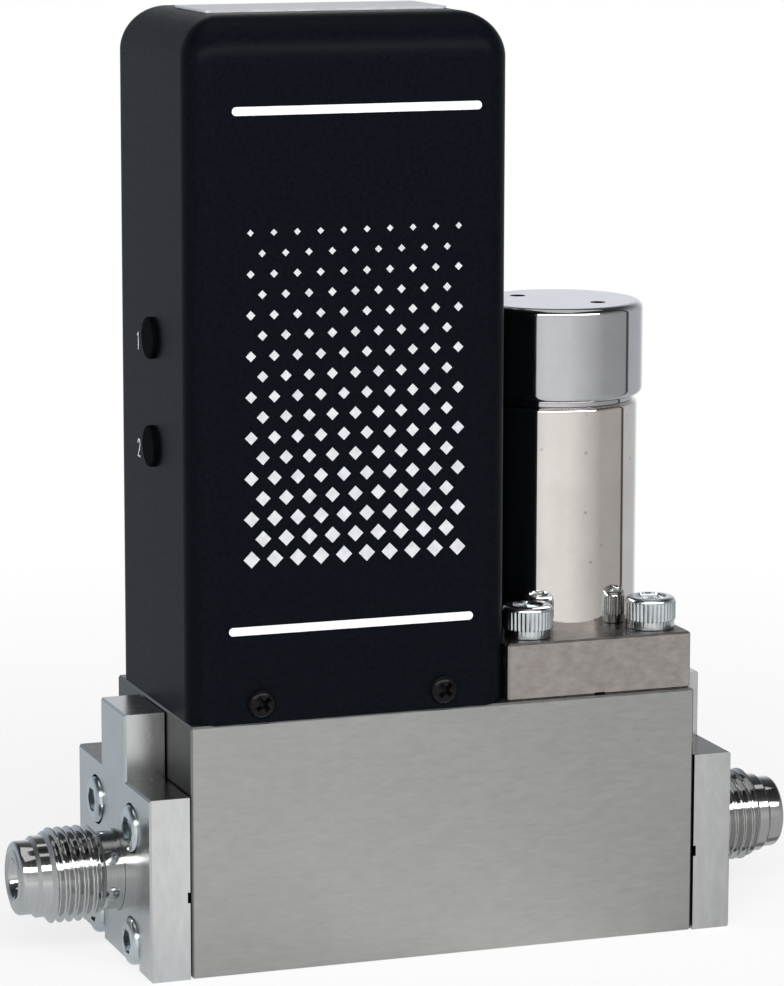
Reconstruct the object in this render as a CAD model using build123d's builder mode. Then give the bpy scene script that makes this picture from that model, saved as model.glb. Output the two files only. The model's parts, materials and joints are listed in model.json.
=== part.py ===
from build123d import *
import math
import os

# Thermal mass flow controller. Millimetres, +X along the flow, -Y to the front, +Z up,
# origin at the bottom centre of the flow block.

# ---- Flow block ----
block_depth = 38.1
block_height = 37.8
edge_break = 0.3
port_height = 12.4
port_radius = 2.3
passage_radius = 1.5
mount_spacing = 50.8
mount_hole_radius = 1.75
mount_hole_depth = 6.0

# ---- Fits and clearances ----
slip = 0.05            # radial, pieces that slide together
screw_slack = 0.15     # radial, screw shank in its clearance hole
thread_slack = 0.02    # radial, screw shank in its tapped hole
rest_gap = 0.05        # axial, piece that lies against its seat
thread_runout = 1.0    # depth of a tapped hole beyond its screw
screw_tip_gap = 0.5    # short way from a screw's tip to the next piece

# ---- End flanges and their face seals ----
flange_thickness = 6.1
flange_edge = 6.4
tab_width = 12.9
tab_drop = 0.4
seal_gap = 0.25
seal_recess = 1.0
seal_radius = 5.6
seal_hole_radius = 3.4
leak_groove_width = 1.6
leak_groove_depth = 0.4
end_screw_y = 9.3
end_screw_z = 8.6
end_screw_radius = 2.0
end_screw_length = 14.0
end_head_radius = 3.5
end_head_height = 2.8
end_head_sink = 2.0
end_head_rounding = 0.9
end_hex_width = 3.4
end_hex_depth = 1.7

# ---- Gland fittings ----
shoulder_radius = 8.0
shoulder_thickness = 2.0
neck_radius = 5.9
neck_length = 2.75
neck_ring_radius = 6.2
neck_ring_width = 0.5
thread_radius = 7.14
thread_length = 8.4
thread_chamfer = 0.8
collar_radius = 6.1
collar_length = 2.0
nose_radius = 5.55
nose_length = 2.4
nose_rounding = 0.7
bead_radius = 3.9
bead_height = 0.3
mouth_depth = 1.2
mouth_radius = 3.1

# ---- Restrictor and inlet filter ----
restrictor_radius = 4.7
restrictor_length = 9.0
channel_radius = 0.55
channel_circle = 2.9
channel_count = 8
filter_thickness = 1.6

# ---- Sensor ----
sensor_inset = 19.55
sensor_leg_spacing = 13.0
sensor_leg_radius = 0.45
sensor_bend_radius = 1.8
sensor_rise = 18.0
sensor_base_length = 28.0
sensor_base_depth = 15.0
sensor_base_height = 5.5
sensor_base_corner = 1.0
sensor_housing_length = 18.4
sensor_housing_depth = 11.0
sensor_housing_height = 24.7
sensor_housing_corner = 1.5
sensor_wall = 1.2
sensor_socket_depth = 2.0
sensor_seal_radius = 2.4
sensor_seal_thickness = 1.0
sensor_screw_x = 11.6
sensor_screw_y = 4.6
winding_radius = 1.1
winding_length = 4.4
winding_half_gap = 0.3

# ---- Cover and the frame it screws to ----
cover_length = 49.3
cover_end_step = 0.25
cover_side_step = 0.1
cover_headroom = 27.25
cover_wall = 1.2
cover_corner_radius = 3.9
cover_top_radius = 6.5
cover_gap = 0.3
cover_screw_rise = 2.9
cover_screw_inset = 10.5
cover_screw_radius = 1.4
cover_screw_grip = 6.0
cover_head_radius = 2.1
cover_head_height = 1.3
frame_height = 5.6
frame_margin = 0.3
frame_screw_inset_x = 5.6
frame_screw_inset_y = 4.32
label_end_margin = 5.95
label_side_margin = 11.35
label_thickness = 0.3
label_corner = 0.8

# ---- Small screws ----
m3_radius = 1.5
m3_head_radius = 2.7
m3_head_height = 1.8
m3_grip = 5.0
m25_radius = 1.25
m25_head_radius = 2.2
m25_head_height = 1.6

# ---- Board and what it carries ----
board_y = 2.5
board_thickness = 1.6
board_inset = 6.55
board_end_gap = 0.15
board_rise = 4.0
board_over_plug = 18.0
spacer_radius = 2.5
spacer_x = 10.0
spacer_shift = 0.9
spacer_foot_inset = 14.0
spacer_head_inset = 9.0
bracket_thickness = 1.2
bracket_width = 26.0
bracket_foot = 8.0
bracket_margin = 1.45
bracket_lip = 1.5
bracket_bend = 0.9
bracket_screw_spacing = 12.0
chip_size = 10.0
chip_thickness = 2.2
chip_rise = 31.0
small_chip_length = 6.0
small_chip_width = 5.0
small_chip_thickness = 1.6
small_chip_rise = 16.0
small_chip_spacing = 8.0
capacitor_radius = 3.2
capacitor_height = 8.0
capacitor_inset = 15.0
capacitor_spacing = 7.4
socket_shift = 3.0
socket_length = 11.0
socket_width = 4.0
socket_height = 7.0
terminal_length = 4.9
terminal_height = 4.8

# ---- Span and zero trimmers, with the plugs before them ----
span_rise = 20.4
zero_rise = 4.3
trimmer_length = 9.5
trimmer_height = 6.4
trimmer_screw_radius = 1.1
trimmer_screw_head = 1.5
trimmer_shaft_radius = 0.75
trimmer_shaft_length = 5.0
trimmer_slot = 0.4
plug_head_radius = 3.1
plug_head_thickness = 0.8
plug_stem_radius = 2.3
plug_stem_length = 2.4

# ---- Signal connector ----
connector_over_cap = 17.5
connector_shell_width = 16.9
connector_shell_depth = 8.4
connector_shell_reach = 5.9
connector_skin = 0.4
connector_slope = 1.0
connector_corner = 1.6
connector_flange_height = 30.8
connector_flange_depth = 12.5
connector_flange_thickness = 1.0
connector_body_length = 4.0
connector_body_depth = 10.5
connector_body_width = 19.3
pin_pitch = 2.77
pin_row_gap = 2.84
pin_radius = 0.5
pin_reach = 4.4
pin_tail = 3.0
post_spacing = 24.99
post_hex = 4.75
post_length = 5.0
post_stud_radius = 1.4
post_hole_radius = 1.2
post_hole_depth = 4.0
post_stud_grip = 1.5

# ---- Valve ----
valve_plate_length = 29.6
plate_cover_gap = 0.1
plate_end_step = 0.35
plate_side_step = 0.65
valve_plate_height = 8.7
valve_screw_shift = 0.3
valve_screw_inset_x = 4.8
valve_screw_inset_y = 5.3
valve_screw_radius = 2.4
valve_screw_grip = 9.0
valve_head_radius = 3.85
valve_head_height = 4.8
valve_hex_width = 4.0
valve_hex_depth = 2.4
valve_seal_radius = 8.6
valve_seal_hole_radius = 6.8
valve_seal_thickness = 1.2
chamber_radius = 6.0
chamber_depth = 4.0
orifice_rise = 1.2
orifice_hole_radius = 0.5
orifice_flange_radius = 3.4
orifice_stem_radius = 1.95
orifice_stem_length = 4.0
orifice_lip_radius = 0.95
oring_thickness = 0.8
oring_gap = 0.01
well_radius = 5.0
tube_radius = 4.6
tube_bore_radius = 4.0
tube_flange_radius = 6.4
tube_flange_thickness = 1.5
tube_proud = 0.4
plunger_clearance = 0.07
plunger_length = 22.7
plunger_lift = 0.25
plunger_pocket_radius = 2.5
plunger_pocket_depth = 6.0
seat_radius = 2.2
seat_thickness = 1.2
spring_radius = 1.95
spring_wire = 0.5
spring_turns = 4
core_stud_radius = 3.0
core_stud_length = 8.0
core_collar_height = 1.1
can_screw_gap = 0.38
can_height = 34.1
can_wall = 1.2
can_top = 1.6
can_rounding = 0.9
bobbin_clearance = 0.1
bobbin_flange = 1.5
bobbin_hub_radius = 5.6
winding_gap = 0.75
cap_overhang = 0.75
cap_height = 14.3
cap_gap = 0.6
cap_neck_step = 0.65
cap_wall = 2.5
cap_rounding = 1.2
cap_boss_radius = 5.5
spanner_hole_radius = 1.2
spanner_hole_depth = 2.0
spanner_circle = 7.1
spanner_angle = 127.0
lead_drop = 6.0
lead_radius = 0.5
lead_spacing = 1.4
bush_radius = 2.4
bush_hole_radius = 1.45
bush_cover_reach = 1.8
bush_can_reach = 0.3

# ---- Places along the flow, worked out from the sizes above ----
block_length = (
    cover_end_step + cover_length + plate_cover_gap + valve_plate_length + plate_end_step
)
end_x = block_length / 2
flange_in_x = end_x + seal_gap
seat_x = flange_in_x + flange_thickness - end_head_sink
cover_left = cover_end_step - end_x
cover_right = cover_left + cover_length
cover_mid_x = (cover_left + cover_right) / 2
cover_screw_spacing = cover_length - 2 * cover_screw_inset
label_length = cover_length - 2 * label_end_margin
frame_screw_x = cover_length / 2 - frame_screw_inset_x
sensor_x = cover_left + sensor_inset
leg_x = sensor_leg_spacing / 2
leg_places = ((sensor_x - leg_x, 0), (sensor_x + leg_x, 0))
sensor_screw_places = (
    (sensor_x - sensor_screw_x, sensor_screw_y),
    (sensor_x + sensor_screw_x, -sensor_screw_y),
)
socket_x = sensor_x + socket_shift
restrictor_right = sensor_x + restrictor_length / 2
connector_face_x = cover_right - cover_wall
insulator_x = connector_face_x - connector_flange_thickness - connector_body_length
board_left = cover_left + board_inset
board_right = insulator_x - board_end_gap
board_mid_x = cover_mid_x + spacer_shift
valve_x = end_x - plate_end_step - valve_plate_length / 2
valve_screw_mid_x = valve_x + valve_screw_shift
valve_screw_x = valve_plate_length / 2 - valve_screw_inset_x
outlet_drop_x = valve_x + chamber_radius + passage_radius

# ---- Places across the flow ----
cover_depth = block_depth - 2 * cover_side_step
label_width = cover_depth - 2 * label_side_margin
frame_y = cover_depth / 2 - cover_wall - cover_gap
frame_screw_y = frame_y - frame_screw_inset_y
valve_plate_depth = block_depth - 2 * plate_side_step
valve_screw_y = valve_plate_depth / 2 - valve_screw_inset_y
board_mid_y = board_y + board_thickness / 2
board_back_y = board_y + board_thickness
bracket_y = frame_y - bracket_margin - bracket_foot
spacer_length = bracket_y - board_back_y

# ---- Radii of the valve: the can fills the room between its four screws ----
can_radius = math.hypot(valve_screw_x, valve_screw_y) - valve_head_radius - can_screw_gap
can_bore_radius = can_radius - can_wall
winding_out_radius = can_bore_radius - winding_gap
cap_radius = can_radius + cap_overhang
cap_neck_radius = can_radius - cap_neck_step

# ---- Heights ----
flange_height = port_height + end_screw_z + flange_edge
tab_height = block_height - tab_drop
frame_top = block_height + frame_height
cover_screw_z = block_height + cover_screw_rise
sensor_base_top = block_height + sensor_base_height
housing_top = sensor_base_top + sensor_housing_height
chamber_floor = block_height - chamber_depth
plate_top = block_height + valve_plate_height
orifice_top = block_height + orifice_rise
plunger_top = orifice_top + plunger_length
core_bottom = plunger_top + plunger_lift + rest_gap
can_top_z = plate_top + can_height
tube_top = can_top_z + tube_proud
cap_bottom = can_top_z + cap_gap
cap_top = cap_bottom + cap_height
lead_z = can_top_z - lead_drop
connector_z = cap_top + connector_over_cap
cover_top = connector_z + cover_headroom
board_bottom = housing_top + board_rise
board_top = connector_z + board_over_plug
board_height = board_top - board_bottom
spacer_foot_z = board_bottom + spacer_foot_inset
spacer_head_z = board_top - spacer_head_inset
spacer_mid_z = (spacer_foot_z + spacer_head_z) / 2
spacer_z = (spacer_head_z - spacer_foot_z) / 2
bracket_top = spacer_head_z + spacer_radius + bracket_lip
chip_z = board_bottom + chip_rise
small_chip_z = board_bottom + small_chip_rise
capacitor_z = board_top - capacitor_inset
span_z = board_bottom + span_rise
zero_z = board_bottom + zero_rise
sides = {"inlet": -1, "outlet": 1}

os.makedirs("parts", exist_ok=True)


def save(part, name):
    part.label = name
    export_step(part, f"parts/{name}.step")


def end_plane(side, x, z):
    """Plane across the flow at one end, looking outwards, with its y axis up."""
    return Plane(origin=(side * x, 0, z), x_dir=(0, side, 0), z_dir=(side, 0, 0))


def port_profile_plane(side, x):
    """Plane through the port's axis: x runs outwards along the axis, y is the radius."""
    return Plane(origin=(side * x, 0, port_height), x_dir=(side, 0, 0), z_dir=(0, -side, 0))


def port_axis(side):
    return Axis((0, 0, port_height), (side, 0, 0))


# ---- Flow block: passages, face seal recesses and tapped holes ----
with BuildPart() as flow_body:
    with BuildSketch():
        Rectangle(block_length, block_depth)
    extrude(amount=block_height)
    chamfer(flow_body.edges(), edge_break)
    for side in sides.values():
        with BuildSketch(end_plane(side, end_x, port_height)):
            Circle(seal_radius + slip)
        extrude(amount=-seal_recess, mode=Mode.SUBTRACT)
        with BuildSketch(end_plane(side, end_x, port_height)):
            with GridLocations(2 * end_screw_y, 2 * end_screw_z, 2, 2):
                Circle(end_screw_radius + thread_slack)
        extrude(amount=-(end_screw_length - (seat_x - end_x) + thread_runout), mode=Mode.SUBTRACT)
    # inlet: wide bore for filter and restrictor, then the passage under the valve
    with BuildSketch(end_plane(-1, end_x, port_height)):
        Circle(restrictor_radius + slip)
    extrude(amount=-(restrictor_right + end_x), mode=Mode.SUBTRACT)
    with BuildSketch(end_plane(-1, -restrictor_right, port_height)):
        Circle(port_radius)
    extrude(amount=-(valve_x + passage_radius - restrictor_right), mode=Mode.SUBTRACT)
    # outlet: the port, met from above by the passage out of the valve chamber
    with BuildSketch(end_plane(1, end_x, port_height)):
        Circle(port_radius)
    extrude(amount=-(end_x - outlet_drop_x + passage_radius), mode=Mode.SUBTRACT)
    with BuildSketch(Plane.XY.offset(port_height)):
        with Locations((outlet_drop_x, 0)):
            Circle(passage_radius)
    extrude(amount=block_height - chamber_depth / 2 - port_height, mode=Mode.SUBTRACT)
    with BuildSketch(Plane.XY.offset(chamber_floor)):
        with Locations((valve_x + chamber_radius / 2, 0)):
            SlotCenterToCenter(chamber_radius + 2 * passage_radius, 2 * passage_radius)
    extrude(amount=chamber_depth / 2, mode=Mode.SUBTRACT)
    # valve chamber, and the tapped hole that the orifice screws into
    with BuildSketch(Plane.XY.offset(chamber_floor)):
        with Locations((valve_x, 0)):
            Circle(chamber_radius)
    extrude(amount=chamber_depth, mode=Mode.SUBTRACT)
    with BuildSketch(Plane.XY.offset(port_height)):
        with Locations((valve_x, 0)):
            Circle(orifice_stem_radius + thread_slack)
    extrude(amount=chamber_floor - port_height, mode=Mode.SUBTRACT)
    # sensor taps down to either end of the restrictor, with their seal recesses
    with BuildSketch(Plane.XY.offset(port_height)):
        with Locations(*leg_places):
            Circle(sensor_leg_radius + slip)
    extrude(amount=block_height - port_height, mode=Mode.SUBTRACT)
    # tapped holes in the top: valve plate, sensor base and cover frame
    with BuildSketch(Plane.XY.offset(block_height)):
        with Locations((valve_screw_mid_x, 0)):
            with GridLocations(2 * valve_screw_x, 2 * valve_screw_y, 2, 2):
                Circle(valve_screw_radius + thread_slack)
    extrude(amount=-(valve_screw_grip + thread_runout), mode=Mode.SUBTRACT)
    with BuildSketch(Plane.XY.offset(block_height)):
        with Locations((cover_mid_x, 0)):
            with GridLocations(2 * frame_screw_x, 2 * frame_screw_y, 2, 2):
                Circle(m3_radius + thread_slack)
        with Locations(*sensor_screw_places):
            Circle(m3_radius + thread_slack)
    extrude(amount=-(m3_grip + thread_runout), mode=Mode.SUBTRACT)
    # two tapped holes underneath, for fixing the controller to a panel
    with BuildSketch(Plane.XY):
        with GridLocations(mount_spacing, 0, 2, 1):
            Circle(mount_hole_radius)
    extrude(amount=mount_hole_depth, mode=Mode.SUBTRACT)
save(flow_body.part, "flow_body")


# ---- Both ends: flange, gland fitting, metal face seal and screws ----
for name, side in sides.items():
    # T-shaped flange: wide foot, narrow tab, lower screw seats open downwards
    with BuildPart() as end_flange:
        with BuildSketch(end_plane(side, flange_in_x, 0)):
            with BuildLine():
                Polyline(
                    (-block_depth / 2, 0),
                    (block_depth / 2, 0),
                    (block_depth / 2, flange_height),
                    (tab_width / 2, flange_height),
                    (tab_width / 2, tab_height),
                    (-tab_width / 2, tab_height),
                    (-tab_width / 2, flange_height),
                    (-block_depth / 2, flange_height),
                    close=True,
                )
            make_face()
        extrude(amount=flange_thickness)
        outer_face = end_flange.faces().sort_by(Axis.X)[-1 if side > 0 else 0]
        chamfer(outer_face.edges(), edge_break)
        with BuildSketch(end_plane(side, flange_in_x, port_height)):
            Circle(shoulder_radius + slip)
        extrude(amount=shoulder_thickness, mode=Mode.SUBTRACT)
        with BuildSketch(end_plane(side, flange_in_x, port_height)):
            Circle(neck_radius + slip)
            with GridLocations(2 * end_screw_y, 2 * end_screw_z, 2, 2):
                Circle(end_screw_radius + screw_slack)
        extrude(amount=flange_thickness, mode=Mode.SUBTRACT)
        with BuildSketch(end_plane(side, seat_x, port_height)):
            with GridLocations(2 * end_screw_y, 2 * end_screw_z, 2, 2):
                Circle(end_head_radius + 2 * screw_slack)
        extrude(amount=end_head_sink, mode=Mode.SUBTRACT)
        with BuildSketch(end_plane(side, seat_x, 0)):
            with Locations((0, (port_height - end_screw_z) / 2)):
                with GridLocations(2 * end_screw_y, 0, 2, 1):
                    Rectangle(2 * (end_head_radius + 2 * screw_slack), port_height - end_screw_z)
        extrude(amount=end_head_sink, mode=Mode.SUBTRACT)
        # groove from the seal to the front edge, for leak testing
        with BuildSketch(end_plane(side, flange_in_x, port_height)):
            with Locations((-side * block_depth / 4, 0)):
                Rectangle(block_depth / 2, leak_groove_width)
        extrude(amount=leak_groove_depth, mode=Mode.SUBTRACT)
    save(end_flange.part, f"{name}_flange")

    # gland fitting, turned in one piece: shoulder, neck, thread blank, collar and nose
    with BuildPart() as end_fitting:
        neck_start = flange_thickness
        thread_start = neck_start + neck_length
        thread_end = thread_start + thread_length
        collar_end = thread_end + collar_length
        nose_end = collar_end + nose_length
        with BuildSketch(port_profile_plane(side, flange_in_x)):
            with BuildLine():
                Polyline(
                    (0, port_radius),
                    (0, shoulder_radius),
                    (shoulder_thickness - rest_gap, shoulder_radius),
                    (shoulder_thickness - rest_gap, neck_radius),
                    (neck_start + rest_gap, neck_radius),
                    (neck_start + rest_gap, neck_ring_radius),
                    (neck_start + neck_ring_width, neck_ring_radius),
                    (neck_start + neck_ring_width, neck_radius),
                    (thread_start, neck_radius),
                    (thread_start + thread_radius - neck_radius, thread_radius),
                    (thread_end - thread_chamfer, thread_radius),
                    (thread_end, collar_radius),
                    (collar_end - (collar_radius - nose_radius), collar_radius),
                    (collar_end, nose_radius),
                    (nose_end - nose_rounding, nose_radius),
                )
                RadiusArc(
                    (nose_end - nose_rounding, nose_radius),
                    (nose_end, nose_radius - nose_rounding),
                    nose_rounding,
                )
                Line((nose_end, nose_radius - nose_rounding), (nose_end, bead_radius + 2 * bead_height))
                ThreePointArc(
                    (nose_end, bead_radius + 2 * bead_height),
                    (nose_end + bead_height, bead_radius),
                    (nose_end, bead_radius - 2 * bead_height),
                )
                Polyline(
                    (nose_end, bead_radius - 2 * bead_height),
                    (nose_end, mouth_radius),
                    (nose_end - mouth_depth, port_radius),
                    (0, port_radius),
                )
            make_face()
        revolve(axis=port_axis(side))
    save(end_fitting.part, f"{name}_fitting")

    with BuildPart() as end_seal:
        with BuildSketch(end_plane(side, end_x - seal_recess, port_height)):
            Circle(seal_radius)
            Circle(seal_hole_radius, mode=Mode.SUBTRACT)
        extrude(amount=seal_recess + seal_gap)
    save(end_seal.part, f"{name}_seal")

    with BuildPart() as end_screws:
        with BuildSketch(end_plane(side, seat_x, port_height)):
            with GridLocations(2 * end_screw_y, 2 * end_screw_z, 2, 2):
                Circle(end_head_radius)
        extrude(amount=end_head_height)
        rims = end_screws.edges().filter_by(GeomType.CIRCLE).group_by(Axis.X)[-1 if side > 0 else 0]
        fillet(rims, end_head_rounding)
        with BuildSketch(end_plane(side, seat_x + end_head_height, port_height)):
            with GridLocations(2 * end_screw_y, 2 * end_screw_z, 2, 2):
                RegularPolygon(end_hex_width / 2, 6, major_radius=False)
        extrude(amount=-end_hex_depth, mode=Mode.SUBTRACT)
        with BuildSketch(end_plane(side, seat_x, port_height)):
            with GridLocations(2 * end_screw_y, 2 * end_screw_z, 2, 2):
                Circle(end_screw_radius)
        extrude(amount=-end_screw_length)
    save(end_screws.part, f"{name}_flange_screws")

# ---- Inlet filter and laminar flow restrictor, one behind the other in the wide bore ----
with BuildPart() as inlet_filter:
    with BuildSketch(end_plane(-1, end_x - seal_recess, port_height)):
        Circle(restrictor_radius)
    extrude(amount=-filter_thickness)
save(inlet_filter.part, "inlet_filter")

with BuildPart() as flow_restrictor:
    with BuildSketch(end_plane(-1, -restrictor_right, port_height)):
        Circle(restrictor_radius)
        with PolarLocations(channel_circle, channel_count):
            Circle(channel_radius, mode=Mode.SUBTRACT)
    extrude(amount=restrictor_length)
save(flow_restrictor.part, "flow_restrictor")

# ---- Thermal sensor: base, seals, capillary with its two windings, housing ----
with BuildPart() as sensor_base:
    with BuildSketch(Plane.XY.offset(block_height)):
        with Locations((sensor_x, 0)):
            RectangleRounded(sensor_base_length, sensor_base_depth, sensor_base_corner)
    extrude(amount=sensor_base_height)
    with BuildSketch(Plane.XY.offset(block_height)):
        with Locations(*leg_places):
            Circle(sensor_leg_radius + slip)
    extrude(amount=sensor_base_height, mode=Mode.SUBTRACT)
    with BuildSketch(Plane.XY.offset(block_height)):
        with Locations(*leg_places):
            Circle(sensor_seal_radius + slip)
    extrude(amount=sensor_seal_thickness, mode=Mode.SUBTRACT)
    with BuildSketch(Plane.XY.offset(block_height)):
        with Locations(*sensor_screw_places):
            Circle(m3_radius + screw_slack)
    extrude(amount=sensor_base_height, mode=Mode.SUBTRACT)
save(sensor_base.part, "sensor_base")

with BuildPart() as sensor_seals:
    with BuildSketch(Plane.XY.offset(block_height)):
        with Locations(*leg_places):
            Circle(sensor_seal_radius)
            Circle(sensor_leg_radius + 2 * slip, mode=Mode.SUBTRACT)
    extrude(amount=sensor_seal_thickness)
save(sensor_seals.part, "sensor_seals")

with BuildPart() as sensor_tube:
    tube_foot = sensor_base_top - sensor_socket_depth
    tube_crest = sensor_base_top + sensor_rise
    with BuildLine() as tube_path:
        FilletPolyline(
            (sensor_x - leg_x, 0, tube_foot),
            (sensor_x - leg_x, 0, tube_crest),
            (sensor_x + leg_x, 0, tube_crest),
            (sensor_x + leg_x, 0, tube_foot),
            radius=sensor_bend_radius,
        )
    with BuildSketch(Plane.XY.offset(tube_foot)):
        with Locations((sensor_x - leg_x, 0)):
            Circle(sensor_leg_radius)
    sweep(path=tube_path.line)
save(sensor_tube.part, "sensor_tube")

with BuildPart() as sensor_windings:
    with BuildSketch(Plane.YZ.offset(sensor_x - winding_length - winding_half_gap)):
        with Locations((0, tube_crest)):
            Circle(winding_radius)
            Circle(sensor_leg_radius + slip, mode=Mode.SUBTRACT)
    extrude(amount=winding_length)
    mirror(about=Plane.YZ.offset(sensor_x))
save(sensor_windings.part, "sensor_windings")

with BuildPart() as sensor_housing:
    with BuildSketch(Plane.XY.offset(sensor_base_top)):
        with Locations((sensor_x, 0)):
            RectangleRounded(sensor_housing_length, sensor_housing_depth, sensor_housing_corner)
    extrude(amount=sensor_housing_height)
    chamfer(sensor_housing.edges().group_by(Axis.Z)[-1], edge_break)
    with BuildSketch(Plane.XY.offset(sensor_base_top)):
        with Locations((sensor_x, 0)):
            Rectangle(sensor_housing_length - 2 * sensor_wall, sensor_housing_depth - 2 * sensor_wall)
    extrude(amount=sensor_housing_height - sensor_wall, mode=Mode.SUBTRACT)
save(sensor_housing.part, "sensor_housing")

with BuildPart() as sensor_screws:
    with BuildSketch(Plane.XY.offset(sensor_base_top)):
        with Locations(*sensor_screw_places):
            Circle(m25_head_radius)
    extrude(amount=m3_head_height)
    with BuildSketch(Plane.XY.offset(sensor_base_top)):
        with Locations(*sensor_screw_places):
            Circle(m3_radius)
    extrude(amount=-(sensor_base_height + m3_grip))
save(sensor_screws.part, "sensor_screws")

# Connector on the sensor housing that takes the lower edge of the board
with BuildPart() as sensor_connector:
    with BuildSketch(Plane.XY.offset(housing_top)):
        with Locations((socket_x, board_mid_y)):
            Rectangle(socket_length, socket_width)
    extrude(amount=socket_height)
    with BuildSketch(Plane.XY.offset(board_bottom - rest_gap)):
        with Locations((socket_x, board_mid_y)):
            Rectangle(socket_length, board_thickness + 2 * slip)
    extrude(amount=socket_height, mode=Mode.SUBTRACT)
save(sensor_connector.part, "sensor_connector")

# ---- Frame on the block that the cover screws to ----
with BuildPart() as chassis_frame:
    with BuildSketch(Plane.XY.offset(block_height)):
        with Locations((cover_mid_x, 0)):
            RectangleRounded(
                cover_length - 2 * (cover_wall + frame_margin),
                2 * frame_y,
                cover_corner_radius - cover_wall,
            )
        with Locations((sensor_x, 0)):
            Rectangle(
                sensor_base_length + 2 * frame_margin,
                sensor_base_depth + 2 * frame_margin,
                mode=Mode.SUBTRACT,
            )
        with Locations((cover_mid_x, 0)):
            with GridLocations(2 * frame_screw_x, 2 * frame_screw_y, 2, 2):
                Circle(m3_radius + screw_slack, mode=Mode.SUBTRACT)
        with Locations((board_mid_x, bracket_y + bracket_foot / 2)):
            with GridLocations(bracket_screw_spacing, 0, 2, 1):
                Circle(m3_radius + thread_slack, mode=Mode.SUBTRACT)
    extrude(amount=frame_height)
    with BuildSketch(Plane.XY.offset(block_height + frame_height)):
        with Locations((cover_mid_x, 0)):
            with GridLocations(2 * frame_screw_x, 2 * frame_screw_y, 2, 2):
                Circle(m3_head_radius + screw_slack)
    extrude(amount=-m3_head_height, mode=Mode.SUBTRACT)
    for way in (-1, 1):
        with BuildSketch(Plane.XZ.offset(-way * frame_y)):
            with Locations((cover_mid_x, cover_screw_z)):
                with GridLocations(cover_screw_spacing, 0, 2, 1):
                    Circle(cover_screw_radius + thread_slack)
        extrude(amount=way * (cover_screw_grip + screw_tip_gap), mode=Mode.SUBTRACT)
save(chassis_frame.part, "chassis_frame")

with BuildPart() as chassis_screws:
    with BuildSketch(Plane.XY.offset(frame_top)):
        with Locations((cover_mid_x, 0)):
            with GridLocations(2 * frame_screw_x, 2 * frame_screw_y, 2, 2):
                Circle(m3_head_radius)
    extrude(amount=-m3_head_height)
    with BuildSketch(Plane.XY.offset(frame_top - m3_head_height)):
        with Locations((cover_mid_x, 0)):
            with GridLocations(2 * frame_screw_x, 2 * frame_screw_y, 2, 2):
                Circle(m3_radius)
    extrude(amount=-(frame_height - m3_head_height + m3_grip))
save(chassis_screws.part, "chassis_screws")

# ---- Folded bracket behind the board ----
with BuildPart() as board_bracket:
    with BuildSketch(Plane.YZ.offset(board_mid_x - bracket_width / 2)):
        with BuildLine():
            Polyline(
                (bracket_y, frame_top),
                (bracket_y, bracket_top),
                (bracket_y + bracket_thickness, bracket_top),
                (bracket_y + bracket_thickness, frame_top + bracket_thickness),
                (bracket_y + bracket_foot, frame_top + bracket_thickness),
                (bracket_y + bracket_foot, frame_top),
                close=True,
            )
        make_face()
    extrude(amount=bracket_width)
    fillet(board_bracket.edges().filter_by(Axis.X).sort_by(Axis.Y)[0:2].sort_by(Axis.Z)[0], bracket_bend)
    with BuildSketch(Plane.XY.offset(frame_top)):
        with Locations((board_mid_x, bracket_y + bracket_foot / 2)):
            with GridLocations(bracket_screw_spacing, 0, 2, 1):
                Circle(m3_radius + screw_slack)
    extrude(amount=bracket_thickness, mode=Mode.SUBTRACT)
    with BuildSketch(Plane.XZ.offset(-bracket_y)):
        with Locations((board_mid_x, spacer_mid_z)):
            with GridLocations(2 * spacer_x, 2 * spacer_z, 2, 2):
                Circle(m25_radius + thread_slack)
    extrude(amount=-bracket_thickness, mode=Mode.SUBTRACT)
save(board_bracket.part, "board_bracket")

with BuildPart() as bracket_screws:
    with BuildSketch(Plane.XY.offset(frame_top + bracket_thickness)):
        with Locations((board_mid_x, bracket_y + bracket_foot / 2)):
            with GridLocations(bracket_screw_spacing, 0, 2, 1):
                Circle(m25_head_radius)
    extrude(amount=m3_head_height)
    with BuildSketch(Plane.XY.offset(frame_top + bracket_thickness)):
        with Locations((board_mid_x, bracket_y + bracket_foot / 2)):
            with GridLocations(bracket_screw_spacing, 0, 2, 1):
                Circle(m3_radius)
    extrude(amount=-(bracket_thickness + frame_height - screw_tip_gap))
save(bracket_screws.part, "bracket_screws")

with BuildPart() as board_spacers:
    with BuildSketch(Plane.XZ.offset(-board_back_y)):
        with Locations((board_mid_x, spacer_mid_z)):
            with GridLocations(2 * spacer_x, 2 * spacer_z, 2, 2):
                Circle(spacer_radius)
                Circle(m25_radius + screw_slack, mode=Mode.SUBTRACT)
    extrude(amount=-spacer_length)
save(board_spacers.part, "board_spacers")

with BuildPart() as board_screws:
    with BuildSketch(Plane.XZ.offset(-board_y)):
        with Locations((board_mid_x, spacer_mid_z)):
            with GridLocations(2 * spacer_x, 2 * spacer_z, 2, 2):
                Circle(m25_head_radius)
    extrude(amount=m25_head_height)
    with BuildSketch(Plane.XZ.offset(-board_y)):
        with Locations((board_mid_x, spacer_mid_z)):
            with GridLocations(2 * spacer_x, 2 * spacer_z, 2, 2):
                Circle(m25_radius)
    extrude(amount=-(board_thickness + spacer_length + bracket_thickness + screw_tip_gap))
save(board_screws.part, "board_screws")

# ---- Board and the larger components on its front ----
with BuildPart() as circuit_board:
    with BuildSketch(Plane.XZ.offset(-board_y)):
        with Locations(((board_left + board_right) / 2, board_bottom + board_height / 2)):
            Rectangle(board_right - board_left, board_height)
        with Locations((board_mid_x, spacer_mid_z)):
            with GridLocations(2 * spacer_x, 2 * spacer_z, 2, 2):
                Circle(m25_radius + screw_slack, mode=Mode.SUBTRACT)
    extrude(amount=-board_thickness)
save(circuit_board.part, "circuit_board")

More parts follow.
